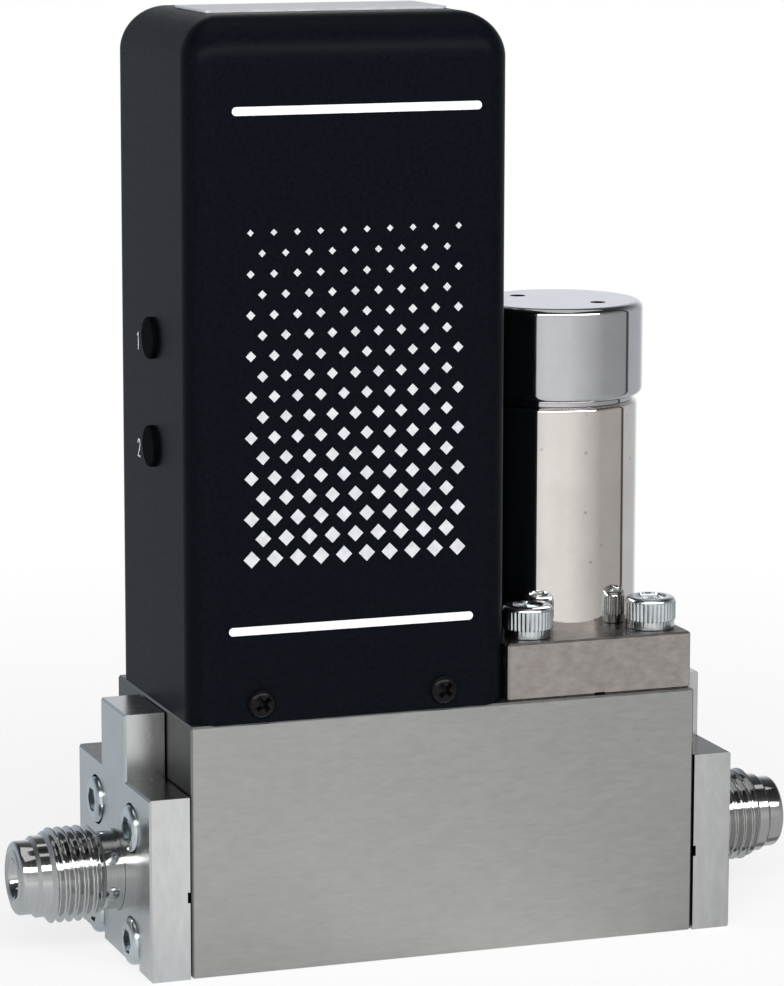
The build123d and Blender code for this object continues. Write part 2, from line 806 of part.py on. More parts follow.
with BuildPart() as control_chip:
    with BuildSketch(Plane.XZ.offset(-board_y)):
        with Locations((board_mid_x, chip_z)):
            Rectangle(chip_size, chip_size)
    extrude(amount=chip_thickness, taper=5)
save(control_chip.part, "control_chip")

with BuildPart() as amplifier_chips:
    with BuildSketch(Plane.XZ.offset(-board_y)):
        with Locations((board_mid_x, small_chip_z)):
            with GridLocations(small_chip_spacing, 0, 2, 1):
                Rectangle(small_chip_length, small_chip_width)
    extrude(amount=small_chip_thickness, taper=5)
save(amplifier_chips.part, "amplifier_chips")

with BuildPart() as capacitors:
    with BuildSketch(Plane.XZ.offset(-board_y)):
        with Locations((board_mid_x, capacitor_z)):
            with GridLocations(capacitor_spacing, 0, 2, 1):
                Circle(capacitor_radius)
    extrude(amount=capacitor_height)
    chamfer(capacitors.edges().group_by(Axis.Y)[0], edge_break)
save(capacitors.part, "capacitors")

# Terminal block for the valve's two leads, level with the lead bush
with BuildPart() as valve_terminal:
    with BuildSketch(Plane.XZ.offset(-board_y)):
        with Locations((board_right - terminal_length / 2, lead_z)):
            Rectangle(terminal_length, terminal_height)
    extrude(amount=2 * board_y)
save(valve_terminal.part, "valve_terminal")

# ---- Trimmers: box on the board, and a slotted screw that turns about the flow direction ----
for name, height in (("span", span_z), ("zero", zero_z)):
    with BuildPart() as trimmer:
        with BuildSketch(Plane.YZ.offset(board_left)):
            with Locations((0, height)):
                Rectangle(2 * board_y, trimmer_height)
        extrude(amount=trimmer_length)
        with BuildSketch(Plane.YZ.offset(board_left)):
            with Locations((0, height)):
                Circle(trimmer_shaft_radius + slip)
        extrude(amount=trimmer_shaft_length + slip, mode=Mode.SUBTRACT)
    save(trimmer.part, f"{name}_trimmer")

    with BuildPart() as trimmer_screw:
        with BuildSketch(Plane.YZ.offset(board_left - rest_gap)):
            with Locations((0, height)):
                Circle(trimmer_screw_radius)
        extrude(amount=-trimmer_screw_head)
        with BuildSketch(Plane.YZ.offset(board_left - rest_gap - trimmer_screw_head)):
            with Locations((0, height)):
                Rectangle(2 * trimmer_screw_radius, trimmer_slot)
        extrude(amount=trimmer_slot, mode=Mode.SUBTRACT)
        with BuildSketch(Plane.YZ.offset(board_left - rest_gap)):
            with Locations((0, height)):
                Circle(trimmer_shaft_radius)
        extrude(amount=trimmer_shaft_length)
    save(trimmer_screw.part, f"{name}_trimmer_screw")

    with BuildPart() as plug:
        with BuildSketch(Plane.YZ.offset(cover_left)):
            with Locations((0, height)):
                Circle(plug_head_radius)
        extrude(amount=-plug_head_thickness)
        fillet(plug.edges().sort_by(Axis.X)[0], edge_break)
        with BuildSketch(Plane.YZ.offset(cover_left)):
            with Locations((0, height)):
                Circle(plug_stem_radius)
        extrude(amount=plug_stem_length)
    save(plug.part, f"{name}_plug")

# ---- Signal connector: nine-pin D plug at the board's edge, behind the cover's wall ----
post_places = (
    (board_mid_y, connector_z - post_spacing / 2),
    (board_mid_y, connector_z + post_spacing / 2),
)
pin_places = [
    (board_mid_y + row * pin_row_gap / 2, connector_z + (i - (count - 1) / 2) * pin_pitch)
    for row, count in ((-1, 5), (1, 4))
    for i in range(count)
]


def d_outline(inset):
    """D-shaped outline of the shell, smaller all round by the inset."""
    half_long = connector_shell_width / 2 - inset
    half_short = half_long - connector_slope
    half_depth = connector_shell_depth / 2 - inset
    with BuildSketch(Plane.XY) as outline:
        with BuildLine():
            Polyline(
                (-half_depth, -half_long),
                (half_depth, -half_short),
                (half_depth, half_short),
                (-half_depth, half_long),
                close=True,
            )
        make_face()
        fillet(outline.vertices(), connector_corner - inset)
    return outline.sketch


with BuildPart() as connector_shell:
    with BuildSketch(Plane.YZ.offset(connector_face_x)):
        with Locations((board_mid_y, connector_z)):
            Rectangle(connector_flange_depth, connector_flange_height)
        with Locations(*post_places):
            Circle(post_stud_radius + screw_slack, mode=Mode.SUBTRACT)
    extrude(amount=-connector_flange_thickness)
    with BuildSketch(Plane.YZ.offset(connector_face_x)):
        with Locations((board_mid_y, connector_z)):
            add(d_outline(0))
    extrude(amount=connector_shell_reach)
    with BuildSketch(Plane.YZ.offset(connector_face_x - connector_flange_thickness)):
        with Locations((board_mid_y, connector_z)):
            add(d_outline(connector_skin))
    extrude(amount=connector_flange_thickness + connector_shell_reach, mode=Mode.SUBTRACT)
save(connector_shell.part, "connector_shell")

with BuildPart() as connector_insulator:
    with BuildSketch(Plane.YZ.offset(insulator_x)):
        with Locations((board_mid_y, connector_z)):
            Rectangle(connector_body_depth, connector_body_width)
    extrude(amount=connector_body_length)
    with BuildSketch(Plane.YZ.offset(insulator_x + connector_body_length)):
        with Locations((board_mid_y, connector_z)):
            add(d_outline(connector_skin + slip))
    extrude(amount=connector_flange_thickness)
    with BuildSketch(Plane.YZ.offset(insulator_x)):
        with Locations(*pin_places):
            Circle(pin_radius + thread_slack)
    extrude(amount=connector_body_length + connector_flange_thickness, mode=Mode.SUBTRACT)
save(connector_insulator.part, "connector_insulator")

with BuildPart() as connector_pins:
    with BuildSketch(Plane.YZ.offset(insulator_x - pin_tail)):
        with Locations(*pin_places):
            Circle(pin_radius)
    extrude(amount=pin_tail + connector_body_length + connector_flange_thickness + pin_reach)
save(connector_pins.part, "connector_pins")

with BuildPart() as jack_posts:
    with BuildSketch(Plane.YZ.offset(cover_right)):
        with Locations(*post_places):
            RegularPolygon(post_hex / 2, 6, major_radius=False)
    extrude(amount=post_length)
    with BuildSketch(Plane.YZ.offset(cover_right)):
        with Locations(*post_places):
            Circle(post_stud_radius)
    extrude(amount=-(cover_wall + connector_flange_thickness + post_stud_grip))
    with BuildSketch(Plane.YZ.offset(cover_right + post_length)):
        with Locations(*post_places):
            Circle(post_hole_radius)
    extrude(amount=-post_hole_depth, mode=Mode.SUBTRACT)
save(jack_posts.part, "jack_posts")

# ---- Drawn cover, open below ----
with BuildPart() as cover:
    with BuildSketch(Plane.XY.offset(block_height)):
        with Locations((cover_mid_x, 0)):
            RectangleRounded(cover_length, cover_depth, cover_corner_radius)
    extrude(amount=cover_top - block_height)
    fillet(cover.edges().group_by(Axis.Z)[-1], cover_top_radius)
    offset(amount=-cover_wall, openings=cover.faces().sort_by(Axis.Z)[0])
    for way in (-1, 1):
        with BuildSketch(Plane.XZ.offset(-way * cover_depth / 2)):
            with Locations((cover_mid_x, cover_screw_z)):
                with GridLocations(cover_screw_spacing, 0, 2, 1):
                    Circle(cover_screw_radius + screw_slack)
        extrude(amount=way * 2 * cover_wall, mode=Mode.SUBTRACT)
    with BuildSketch(Plane.YZ.offset(cover_left)):
        with Locations((0, span_z), (0, zero_z)):
            Circle(plug_stem_radius + slip)
    extrude(amount=2 * cover_wall, mode=Mode.SUBTRACT)
    with BuildSketch(Plane.YZ.offset(cover_right)):
        with Locations((board_mid_y, connector_z)):
            add(d_outline(-2 * slip))
        with Locations(*post_places):
            Circle(post_stud_radius + screw_slack)
        with Locations((0, lead_z)):
            Circle(bush_radius + slip)
    extrude(amount=-2 * cover_wall, mode=Mode.SUBTRACT)
save(cover.part, "cover")

with BuildPart() as cover_screws:
    for way in (-1, 1):
        with BuildSketch(Plane.XZ.offset(-way * cover_depth / 2)):
            with Locations((cover_mid_x, cover_screw_z)):
                with GridLocations(cover_screw_spacing, 0, 2, 1):
                    Circle(cover_head_radius)
        extrude(amount=-way * cover_head_height)
        rims = cover_screws.edges().filter_by(GeomType.CIRCLE).group_by(Axis.Y)[-1 if way > 0 else 0]
        fillet(rims, cover_head_height / 2)
        with BuildSketch(Plane.XZ.offset(-way * cover_depth / 2)):
            with Locations((cover_mid_x, cover_screw_z)):
                with GridLocations(cover_screw_spacing, 0, 2, 1):
                    Circle(cover_screw_radius)
        extrude(amount=way * (cover_wall + cover_gap + cover_screw_grip))
save(cover_screws.part, "cover_screws")

with BuildPart() as top_label:
    with BuildSketch(Plane.XY.offset(cover_top)):
        with Locations((cover_mid_x, 0)):
            RectangleRounded(label_length, label_width, label_corner)
    extrude(amount=label_thickness)
save(top_label.part, "top_label")

# ---- Valve plate, its seal and its four screws ----
with BuildPart() as valve_plate:
    with BuildSketch(Plane.XY.offset(block_height)):
        with Locations((valve_x, 0)):
            Rectangle(valve_plate_length, valve_plate_depth)
    extrude(amount=valve_plate_height)
    chamfer(valve_plate.edges(), edge_break)
    with BuildSketch(Plane.XY.offset(block_height)):
        with Locations((valve_x, 0)):
            Circle(well_radius)
        with Locations((valve_screw_mid_x, 0)):
            with GridLocations(2 * valve_screw_x, 2 * valve_screw_y, 2, 2):
                Circle(valve_screw_radius + screw_slack)
    extrude(amount=valve_plate_height, mode=Mode.SUBTRACT)
    with BuildSketch(Plane.XY.offset(block_height)):
        with Locations((valve_x, 0)):
            Circle(valve_seal_radius + slip)
    extrude(amount=valve_seal_thickness, mode=Mode.SUBTRACT)
    with BuildSketch(Plane.XY.offset(plate_top)):
        with Locations((valve_x, 0)):
            Circle(tube_flange_radius + slip)
    extrude(amount=-tube_flange_thickness, mode=Mode.SUBTRACT)
    # groove from the seal to the front edge, for leak testing
    with BuildSketch(Plane.XY.offset(block_height)):
        with Locations((valve_x, -valve_plate_depth / 4)):
            Rectangle(leak_groove_width, valve_plate_depth / 2)
    extrude(amount=leak_groove_depth, mode=Mode.SUBTRACT)
save(valve_plate.part, "valve_plate")

with BuildPart() as valve_screws:
    with BuildSketch(Plane.XY.offset(plate_top)):
        with Locations((valve_screw_mid_x, 0)):
            with GridLocations(2 * valve_screw_x, 2 * valve_screw_y, 2, 2):
                Circle(valve_head_radius)
    extrude(amount=valve_head_height)
    chamfer(valve_screws.edges().group_by(Axis.Z)[-1], edge_break)
    with BuildSketch(Plane.XY.offset(plate_top + valve_head_height)):
        with Locations((valve_screw_mid_x, 0)):
            with GridLocations(2 * valve_screw_x, 2 * valve_screw_y, 2, 2):
                RegularPolygon(valve_hex_width / 2, 6, major_radius=False)
    extrude(amount=-valve_hex_depth, mode=Mode.SUBTRACT)
    with BuildSketch(Plane.XY.offset(plate_top)):
        with Locations((valve_screw_mid_x, 0)):
            with GridLocations(2 * valve_screw_x, 2 * valve_screw_y, 2, 2):
                Circle(valve_screw_radius)
    extrude(amount=-(valve_plate_height + valve_screw_grip))
save(valve_screws.part, "valve_screws")

with BuildPart() as valve_seal:
    with BuildSketch(Plane.XY.offset(block_height)):
        with Locations((valve_x, 0)):
            Circle(valve_seal_radius)
            Circle(valve_seal_hole_radius, mode=Mode.SUBTRACT)
    extrude(amount=valve_seal_thickness)
save(valve_seal.part, "valve_seal")


def valve_profile_plane():
    """Plane through the valve's axis: x is the radius, y the height."""
    return Plane(origin=(valve_x, 0, 0), x_dir=(1, 0, 0), z_dir=(0, -1, 0))


valve_axis = Axis((valve_x, 0, 0), (0, 0, 1))

# ---- Orifice: stem screwed into the block, flange over an O-ring, seat lip on top ----
with BuildPart() as orifice:
    with BuildSketch(valve_profile_plane()):
        with BuildLine():
            Polyline(
                (orifice_hole_radius, chamber_floor - orifice_stem_length),
                (orifice_stem_radius, chamber_floor - orifice_stem_length),
                (orifice_stem_radius, chamber_floor + oring_thickness),
                (orifice_flange_radius, chamber_floor + oring_thickness),
                (orifice_flange_radius, orifice_top - orifice_rise),
                (2 * orifice_lip_radius, orifice_top - orifice_rise),
                (orifice_lip_radius, orifice_top - orifice_rise / 2),
                (orifice_lip_radius, orifice_top),
                (orifice_hole_radius, orifice_top),
                close=True,
            )
        make_face()
    revolve(axis=valve_axis)
save(orifice.part, "orifice")

with BuildPart() as orifice_seal:
    ring_radius = (orifice_stem_radius + orifice_flange_radius) / 2
    with BuildSketch(valve_profile_plane()):
        with Locations((ring_radius, chamber_floor + oring_thickness / 2)):
            Circle(oring_thickness / 2 - oring_gap)
    revolve(axis=valve_axis)
save(orifice_seal.part, "orifice_seal")

# ---- Core tube, fixed core and plunger ----
with BuildPart() as core_tube:
    with BuildSketch(valve_profile_plane()):
        with BuildLine():
            Polyline(
                (tube_bore_radius, plate_top - tube_flange_thickness),
                (tube_flange_radius, plate_top - tube_flange_thickness),
                (tube_flange_radius, plate_top),
                (tube_radius, plate_top),
                (tube_radius, tube_top),
                (tube_bore_radius, tube_top),
                close=True,
            )
        make_face()
    revolve(axis=valve_axis)
save(core_tube.part, "core_tube")

with BuildPart() as pole_piece:
    with BuildSketch(valve_profile_plane()):
        with BuildLine():
            Polyline(
                (0, core_bottom),
                (tube_bore_radius - slip, core_bottom),
                (tube_bore_radius - slip, tube_top),
                (tube_radius, tube_top),
                (tube_radius, tube_top + core_collar_height),
                (core_stud_radius, tube_top + core_collar_height),
                (core_stud_radius, tube_top + core_collar_height + core_stud_length),
                (0, tube_top + core_collar_height + core_stud_length),
                close=True,
            )
        make_face()
    revolve(axis=valve_axis)
save(pole_piece.part, "pole_piece")

with BuildPart() as plunger:
    with BuildSketch(valve_profile_plane()):
        with BuildLine():
            Polyline(
                (0, orifice_top + seat_thickness),
                (seat_radius + slip, orifice_top + seat_thickness),
                (seat_radius + slip, orifice_top),
                (tube_bore_radius - plunger_clearance, orifice_top),
                (tube_bore_radius - plunger_clearance, plunger_top),
                (plunger_pocket_radius, plunger_top),
                (plunger_pocket_radius, plunger_top - plunger_pocket_depth),
                (0, plunger_top - plunger_pocket_depth),
                close=True,
            )
        make_face()
    revolve(axis=valve_axis)
save(plunger.part, "plunger")

with BuildPart() as plunger_seat:
    with BuildSketch(Plane.XY.offset(orifice_top)):
        with Locations((valve_x, 0)):
            Circle(seat_radius)
    extrude(amount=seat_thickness)
save(plunger_seat.part, "plunger_seat")

with BuildPart() as plunger_spring:
    spring_bottom = plunger_top - plunger_pocket_depth + rest_gap + spring_wire / 2
    spring_height = core_bottom - rest_gap - spring_wire / 2 - spring_bottom
    with BuildLine() as spring_path:
        Helix(
            pitch=spring_height / spring_turns,
            height=spring_height,
            radius=spring_radius,
            center=(valve_x, 0, spring_bottom),
        )
    with BuildSketch(spring_path.line ^ 0):
        Circle(spring_wire / 2)
    sweep(path=spring_path.line, is_frenet=True)
save(plunger_spring.part, "plunger_spring")

# ---- Coil: bobbin, winding, polished can ----
with BuildPart() as coil_bobbin:
    bobbin_bottom = plate_top + rest_gap
    bobbin_top = can_top_z - can_top - rest_gap
    with BuildSketch(valve_profile_plane()):
        with BuildLine():
            Polyline(
                (tube_radius + slip, bobbin_bottom),
                (can_bore_radius - bobbin_clearance, bobbin_bottom),
                (can_bore_radius - bobbin_clearance, bobbin_bottom + bobbin_flange),
                (bobbin_hub_radius, bobbin_bottom + bobbin_flange),
                (bobbin_hub_radius, bobbin_top - bobbin_flange),
                (can_bore_radius - bobbin_clearance, bobbin_top - bobbin_flange),
                (can_bore_radius - bobbin_clearance, bobbin_top),
                (tube_radius + slip, bobbin_top),
                close=True,
            )
        make_face()
    revolve(axis=valve_axis)
save(coil_bobbin.part, "coil_bobbin")

with BuildPart() as coil_winding:
    with BuildSketch(Plane.XY.offset(bobbin_bottom + bobbin_flange)):
        with Locations((valve_x, 0)):
            Circle(winding_out_radius)
            Circle(bobbin_hub_radius, mode=Mode.SUBTRACT)
    extrude(amount=bobbin_top - bobbin_bottom - 2 * bobbin_flange)
save(coil_winding.part, "coil_winding")

with BuildPart() as valve_housing:
    with BuildSketch(valve_profile_plane()):
        with BuildLine():
            Polyline(
                (can_bore_radius, plate_top),
                (can_radius, plate_top),
                (can_radius, can_top_z - can_rounding),
            )
            RadiusArc(
                (can_radius, can_top_z - can_rounding),
                (can_radius - can_rounding, can_top_z),
                -can_rounding,
            )
            Polyline(
                (can_radius - can_rounding, can_top_z),
                (tube_radius + slip, can_top_z),
                (tube_radius + slip, can_top_z - can_top),
                (can_bore_radius, can_top_z - can_top),
                (can_bore_radius, plate_top),
            )
        make_face()
    revolve(axis=valve_axis)
    with BuildSketch(Plane.YZ.offset(valve_x - cap_radius)):
        with Locations((0, lead_z)):
            Circle(bush_radius + slip)
    extrude(amount=cap_radius - winding_out_radius, mode=Mode.SUBTRACT)
save(valve_housing.part, "valve_housing")

# ---- Cap that screws onto the fixed core, turned by its two spanner holes ----
with BuildPart() as valve_cap:
    with BuildSketch(valve_profile_plane()):
        with BuildLine():
            Polyline(
                (cap_neck_radius - cap_wall, can_top_z),
                (cap_neck_radius, can_top_z),
                (cap_neck_radius, cap_bottom),
                (cap_radius - cap_rounding, cap_bottom),
            )
            RadiusArc(
                (cap_radius - cap_rounding, cap_bottom),
                (cap_radius, cap_bottom + cap_rounding),
                -cap_rounding,
            )
            Line((cap_radius, cap_bottom + cap_rounding), (cap_radius, cap_top - cap_rounding))
            RadiusArc(
                (cap_radius, cap_top - cap_rounding),
                (cap_radius - cap_rounding, cap_top),
                -cap_rounding,
            )
            Polyline(
                (cap_radius - cap_rounding, cap_top),
                (0, cap_top),
                (0, cap_top - cap_wall),
                (core_stud_radius + thread_slack, cap_top - cap_wall),
                (core_stud_radius + thread_slack, tube_top + core_collar_height + rest_gap),
                (cap_boss_radius, tube_top + core_collar_height + rest_gap),
                (cap_boss_radius, cap_top - cap_wall),
                (cap_neck_radius - cap_wall, cap_top - cap_wall),
                (cap_neck_radius - cap_wall, can_top_z),
            )
        make_face()
    revolve(axis=valve_axis)
    with BuildSketch(Plane.XY.offset(cap_top)):
        with Locations((valve_x, 0)):
            with PolarLocations(spanner_circle, 2, start_angle=spanner_angle):
                Circle(spanner_hole_radius)
    extrude(amount=-spanner_hole_depth, mode=Mode.SUBTRACT)
save(valve_cap.part, "valve_cap")

# ---- Leads from the winding through a bush to the terminal block ----
with BuildPart() as lead_bush:
    with BuildSketch(Plane.YZ.offset(cover_right - bush_cover_reach)):
        with Locations((0, lead_z)):
            Circle(bush_radius)
            Circle(bush_hole_radius, mode=Mode.SUBTRACT)
    extrude(amount=valve_x - can_bore_radius + bush_can_reach - (cover_right - bush_cover_reach))
save(lead_bush.part, "lead_bush")

with BuildPart() as valve_leads:
    with BuildSketch(Plane.YZ.offset(board_right)):
        with Locations((0, lead_z)):
            with GridLocations(lead_spacing, 0, 2, 1):
                Circle(lead_radius)
    extrude(amount=valve_x - winding_out_radius - 2 * rest_gap - board_right)
save(valve_leads.part, "valve_leads")
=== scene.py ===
import json
import math

import bmesh
import bpy
from mathutils import Matrix, Vector


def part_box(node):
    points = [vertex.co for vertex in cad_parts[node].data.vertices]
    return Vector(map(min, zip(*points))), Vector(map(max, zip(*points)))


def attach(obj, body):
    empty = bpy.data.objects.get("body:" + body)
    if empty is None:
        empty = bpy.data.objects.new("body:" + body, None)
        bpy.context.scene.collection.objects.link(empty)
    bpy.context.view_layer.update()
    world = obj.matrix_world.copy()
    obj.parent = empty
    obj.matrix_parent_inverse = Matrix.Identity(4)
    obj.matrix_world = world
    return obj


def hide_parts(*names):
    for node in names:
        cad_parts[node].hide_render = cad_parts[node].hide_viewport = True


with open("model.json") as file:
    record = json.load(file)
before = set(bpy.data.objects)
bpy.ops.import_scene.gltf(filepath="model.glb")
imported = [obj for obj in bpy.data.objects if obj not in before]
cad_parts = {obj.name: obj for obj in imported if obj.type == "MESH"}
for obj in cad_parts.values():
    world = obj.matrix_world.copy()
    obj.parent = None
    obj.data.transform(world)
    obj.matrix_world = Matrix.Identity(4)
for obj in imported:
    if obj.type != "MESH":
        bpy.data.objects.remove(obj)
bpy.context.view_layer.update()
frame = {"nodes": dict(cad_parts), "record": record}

MM = 0.001

# ---- Camera ----
# A long lens on a stand before the left front corner, a little above the middle.
# It is set by its place, its two angles and a very small tilt.
camera_place = Vector((-211.606, -582.473, 175.549)) * MM
camera_turn = math.radians(19.7896)
camera_dip = math.radians(9.9398)
camera_tilt = math.radians(0.0981)
camera_focal = 151.918
ahead = Vector((
    math.sin(camera_turn) * math.cos(camera_dip),
    math.cos(camera_turn) * math.cos(camera_dip),
    -math.sin(camera_dip),
))
level_right = Vector((math.cos(camera_turn), -math.sin(camera_turn), 0))
level_up = level_right.cross(ahead)
right = math.cos(camera_tilt) * level_right + math.sin(camera_tilt) * level_up
up = -math.sin(camera_tilt) * level_right + math.cos(camera_tilt) * level_up
camera_data = bpy.data.cameras.new("product_camera")
camera_data.lens = camera_focal
camera_data.sensor_width = 36
camera_data.sensor_fit = "AUTO"
camera_data.clip_start = 0.01
camera_data.clip_end = 20
camera = bpy.data.objects.new("product_camera", camera_data)
turn = Matrix((right, up, -ahead)).transposed().to_4x4()
camera.matrix_world = Matrix.Translation(camera_place) @ turn
bpy.context.scene.collection.objects.link(camera)
bpy.context.scene.camera = camera
bpy.context.scene.view_settings.view_transform = "Standard"

# ---- Studio floor ----
# A smooth white table top, much larger than the controller, that takes its soft shadow.
# Away from the shadow the view sees white paper, and polished metal sees paper as bright as the room.
floor_half = 2.5
shadow_near, shadow_far = 0.08, 0.30
shadow_share = 0.78
# Each band of the room: its turn from the front in degrees, its brightness and its share of blue.
room_turns = (
    (-180, 0.62, 0.10), (-140, 0.60, 0.10), (-110, 0.50, 0.08), (-62, 0.80, 0.02), (-36, 1.0, 0.0),
    (-6, 0.96, 0.0), (45, 0.48, 0.0), (83, 0.44, 0.0), (84, 0.08, 0.0), (88.5, 0.08, 0.0),
    (90, 0.62, 0.03), (125, 0.60, 0.03), (145, 0.98, 0.03), (172, 0.90, 0.03), (180, 0.62, 0.10),
)


def middle(node):
    """Middle of the box of a node's solids."""
    low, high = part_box(node)
    return (low + high) / 2


def link_piece(name, mesh):
    """Make an object from a mesh and put it in the scene."""
    piece = bpy.data.objects.new(name, mesh)
    bpy.context.scene.collection.objects.link(piece)
    return piece


def begin_material(name, colour, roughness, metallic):
    """Start a material: its surface shader gets its constant colour, roughness and metallic value."""
    material = bpy.data.materials.new(name)
    material.use_nodes = True
    surface = material.node_tree.nodes["Principled BSDF"]
    surface.inputs["Base Color"].default_value = (*colour, 1)
    surface.inputs["Roughness"].default_value = roughness
    surface.inputs["Metallic"].default_value = metallic
    return material, surface


def add_node(owner, kind, **values):
    """Add a node of that kind to a material or a world and set its values."""
    node = owner.node_tree.nodes.new(kind)
    for key, value in values.items():
        setattr(node, key, value)
    return node


def maths(owner, operation, *values):
    """The output of a maths node; its inputs are other outputs or plain numbers."""
    node = add_node(owner, "ShaderNodeMath", operation=operation)
    for socket, value in zip(node.inputs, values):
        if isinstance(value, (int, float)):
            socket.default_value = value
        else:
            owner.node_tree.links.new(value, socket)
    return node.outputs["Value"]


def slope(owner, value, start, end, first, last):
    """The output of a node that runs from first to last while the value runs from start to end."""
    node = add_node(owner, "ShaderNodeMapRange")
    for key, number in zip(("From Min", "From Max", "To Min", "To Max"), (start, end, first, last)):
        node.inputs[key].default_value = number
    owner.node_tree.links.new(value, node.inputs["Value"])
    return node.outputs["Result"]


def room_light(owner, direction):
    """Colour of the room by the turn from the front: bright at the left, dim at the right, with a
    dark gap at the edge of the paper and a little blue at the back left."""
    split = add_node(owner, "ShaderNodeSeparateXYZ")
    owner.node_tree.links.new(direction, split.inputs["Vector"])
    forward = maths(owner, "MULTIPLY", split.outputs["Y"], -1.0)
    turned = maths(owner, "ARCTAN2", split.outputs["X"], forward)
    bands = add_node(owner, "ShaderNodeValToRGB")
    for index, (angle, value, blue) in enumerate(room_turns):
        place = (angle + 180) / 360
        band = bands.color_ramp.elements[index] if index < 2 else bands.color_ramp.elements.new(place)
        band.position = place
        band.color = (value * (1 - blue), value, value * (1 + blue), 1)
    owner.node_tree.links.new(slope(owner, turned, -math.pi, math.pi, 0.0, 1.0), bands.inputs["Fac"])
    return bands.outputs["Color"]


floor_mesh = bpy.data.meshes.new("table_top")
floor_mesh.from_pydata(
    [(-floor_half, -floor_half, 0), (floor_half, -floor_half, 0),
     (floor_half, floor_half, 0), (-floor_half, floor_half, 0)],
    [], [(0, 1, 2, 3)],
)
floor = link_piece("table_top", floor_mesh)
table_finish, table_surface = begin_material("table_white", (0.93, 0.93, 0.93), 0.9, 0.0)
table_surface.inputs["Specular IOR Level"].default_value = 0.1
table_links = table_finish.node_tree.links
table_place = add_node(table_finish, "ShaderNodeTexCoord")
table_path = add_node(table_finish, "ShaderNodeLightPath")
from_valve = add_node(table_finish, "ShaderNodeVectorMath", operation="SUBTRACT")
from_valve.inputs[1].default_value = (middle("valve_cap").x, 0, 0)
table_links.new(table_place.outputs["Object"], from_valve.inputs[0])
away = add_node(table_finish, "ShaderNodeVectorMath", operation="LENGTH")
table_links.new(table_place.outputs["Object"], away.inputs[0])
mirrored = maths(
    table_finish, "MAXIMUM", table_path.outputs["Is Glossy Ray"], table_path.outputs["Is Transmission Ray"])
seen = maths(table_finish, "MAXIMUM", table_path.outputs["Is Camera Ray"], mirrored)
paper = add_node(table_finish, "ShaderNodeEmission")
paper_colour = add_node(table_finish, "ShaderNodeMix", data_type="RGBA")
paper_colour.inputs["B"].default_value = (1, 1, 1, 1)
table_links.new(table_path.outputs["Is Camera Ray"], paper_colour.inputs["Factor"])
table_links.new(room_light(table_finish, from_valve.outputs["Vector"]), paper_colour.inputs["A"])
table_links.new(paper_colour.outputs["Result"], paper.inputs["Color"])
table_choice = add_node(table_finish, "ShaderNodeMixShader")
white_share = slope(table_finish, away.outputs["Value"], shadow_near, shadow_far, shadow_share, 1.0)
table_links.new(maths(table_finish, "MULTIPLY", seen, white_share), table_choice.inputs["Fac"])
table_links.new(table_surface.outputs["BSDF"], table_choice.inputs[1])
table_links.new(paper.outputs["Emission"], table_choice.inputs[2])
table_out = table_finish.node_tree.nodes["Material Output"]
table_links.new(table_choice.outputs["Shader"], table_out.inputs["Surface"])
floor_mesh.materials.append(table_finish)

# ---- Studio light ----
# A room that is white at the horizon, where it joins the paper, and dark overhead.
# A long strip lamp hangs over the left front, and a soft one hangs above.
lamp_aim = Vector((0, 0, 0.07))
# Each band of the sky: the height of its direction, from level to straight up, and its brightness.
room_heights = ((0.0, 1.0), (0.16, 0.92), (0.40, 0.55), (0.62, 0.14), (1.0, 0.05))
world = bpy.data.worlds.new("pale_room")
bpy.context.scene.world = world
world.use_nodes = True
world.node_tree.nodes.clear()
sky_links = world.node_tree.links
sky_out = add_node(world, "ShaderNodeOutputWorld")
sky_choice = add_node(world, "ShaderNodeMixShader")
sky_path = add_node(world, "ShaderNodeLightPath")
sky_white = add_node(world, "ShaderNodeBackground")
sky_white.inputs["Color"].default_value = (1, 1, 1, 1)
sky_room = add_node(world, "ShaderNodeBackground")
sky_place = add_node(world, "ShaderNodeTexCoord")
sky_split = add_node(world, "ShaderNodeSeparateXYZ")
sky_links.new(sky_place.outputs["Generated"], sky_split.inputs["Vector"])
sky_ramp = add_node(world, "ShaderNodeValToRGB")
for index, (height, value) in enumerate(room_heights):
    band = sky_ramp.color_ramp.elements[index] if index < 2 else sky_ramp.color_ramp.elements.new(height)
    band.position = height
    band.color = (value, value, value * 1.02, 1)
sky_links.new(sky_split.outputs["Z"], sky_ramp.inputs["Fac"])
sky_colour = add_node(world, "ShaderNodeVectorMath", operation="MULTIPLY")
sky_links.new(sky_ramp.outputs["Color"], sky_colour.inputs[0])
sky_links.new(room_light(world, sky_place.outputs["Generated"]), sky_colour.inputs[1])
sky_links.new(sky_colour.outputs["Vector"], sky_room.inputs["Color"])
sky_links.new(sky_path.outputs["Is Camera Ray"], sky_choice.inputs["Fac"])
sky_links.new(sky_room.outputs["Background"], sky_choice.inputs[1])
sky_links.new(sky_white.outputs["Background"], sky_choice.inputs[2])
sky_links.new(sky_choice.outputs["Shader"], sky_out.inputs["Surface"])
for lamp_name, lamp_place, lamp_width, lamp_height, lamp_power in (
    ("strip_lamp", (-0.12, -0.85, 0.66), 1.90, 0.26, 14.5),
    ("top_lamp", (0.05, 0.05, 1.0), 0.8, 0.8, 1.6),
):
    lamp_data = bpy.data.lights.new(lamp_name, "AREA")
    lamp_data.shape = "RECTANGLE"
    lamp_data.size = lamp_width
    lamp_data.size_y = lamp_height
    lamp_data.energy = lamp_power
    lamp = bpy.data.objects.new(lamp_name, lamp_data)
    lamp.location = lamp_place
    lamp.rotation_mode = "QUATERNION"
    lamp.rotation_quaternion = (lamp_aim - Vector(lamp_place)).to_track_quat("-Z", "Y")
    bpy.context.scene.collection.objects.link(lamp)

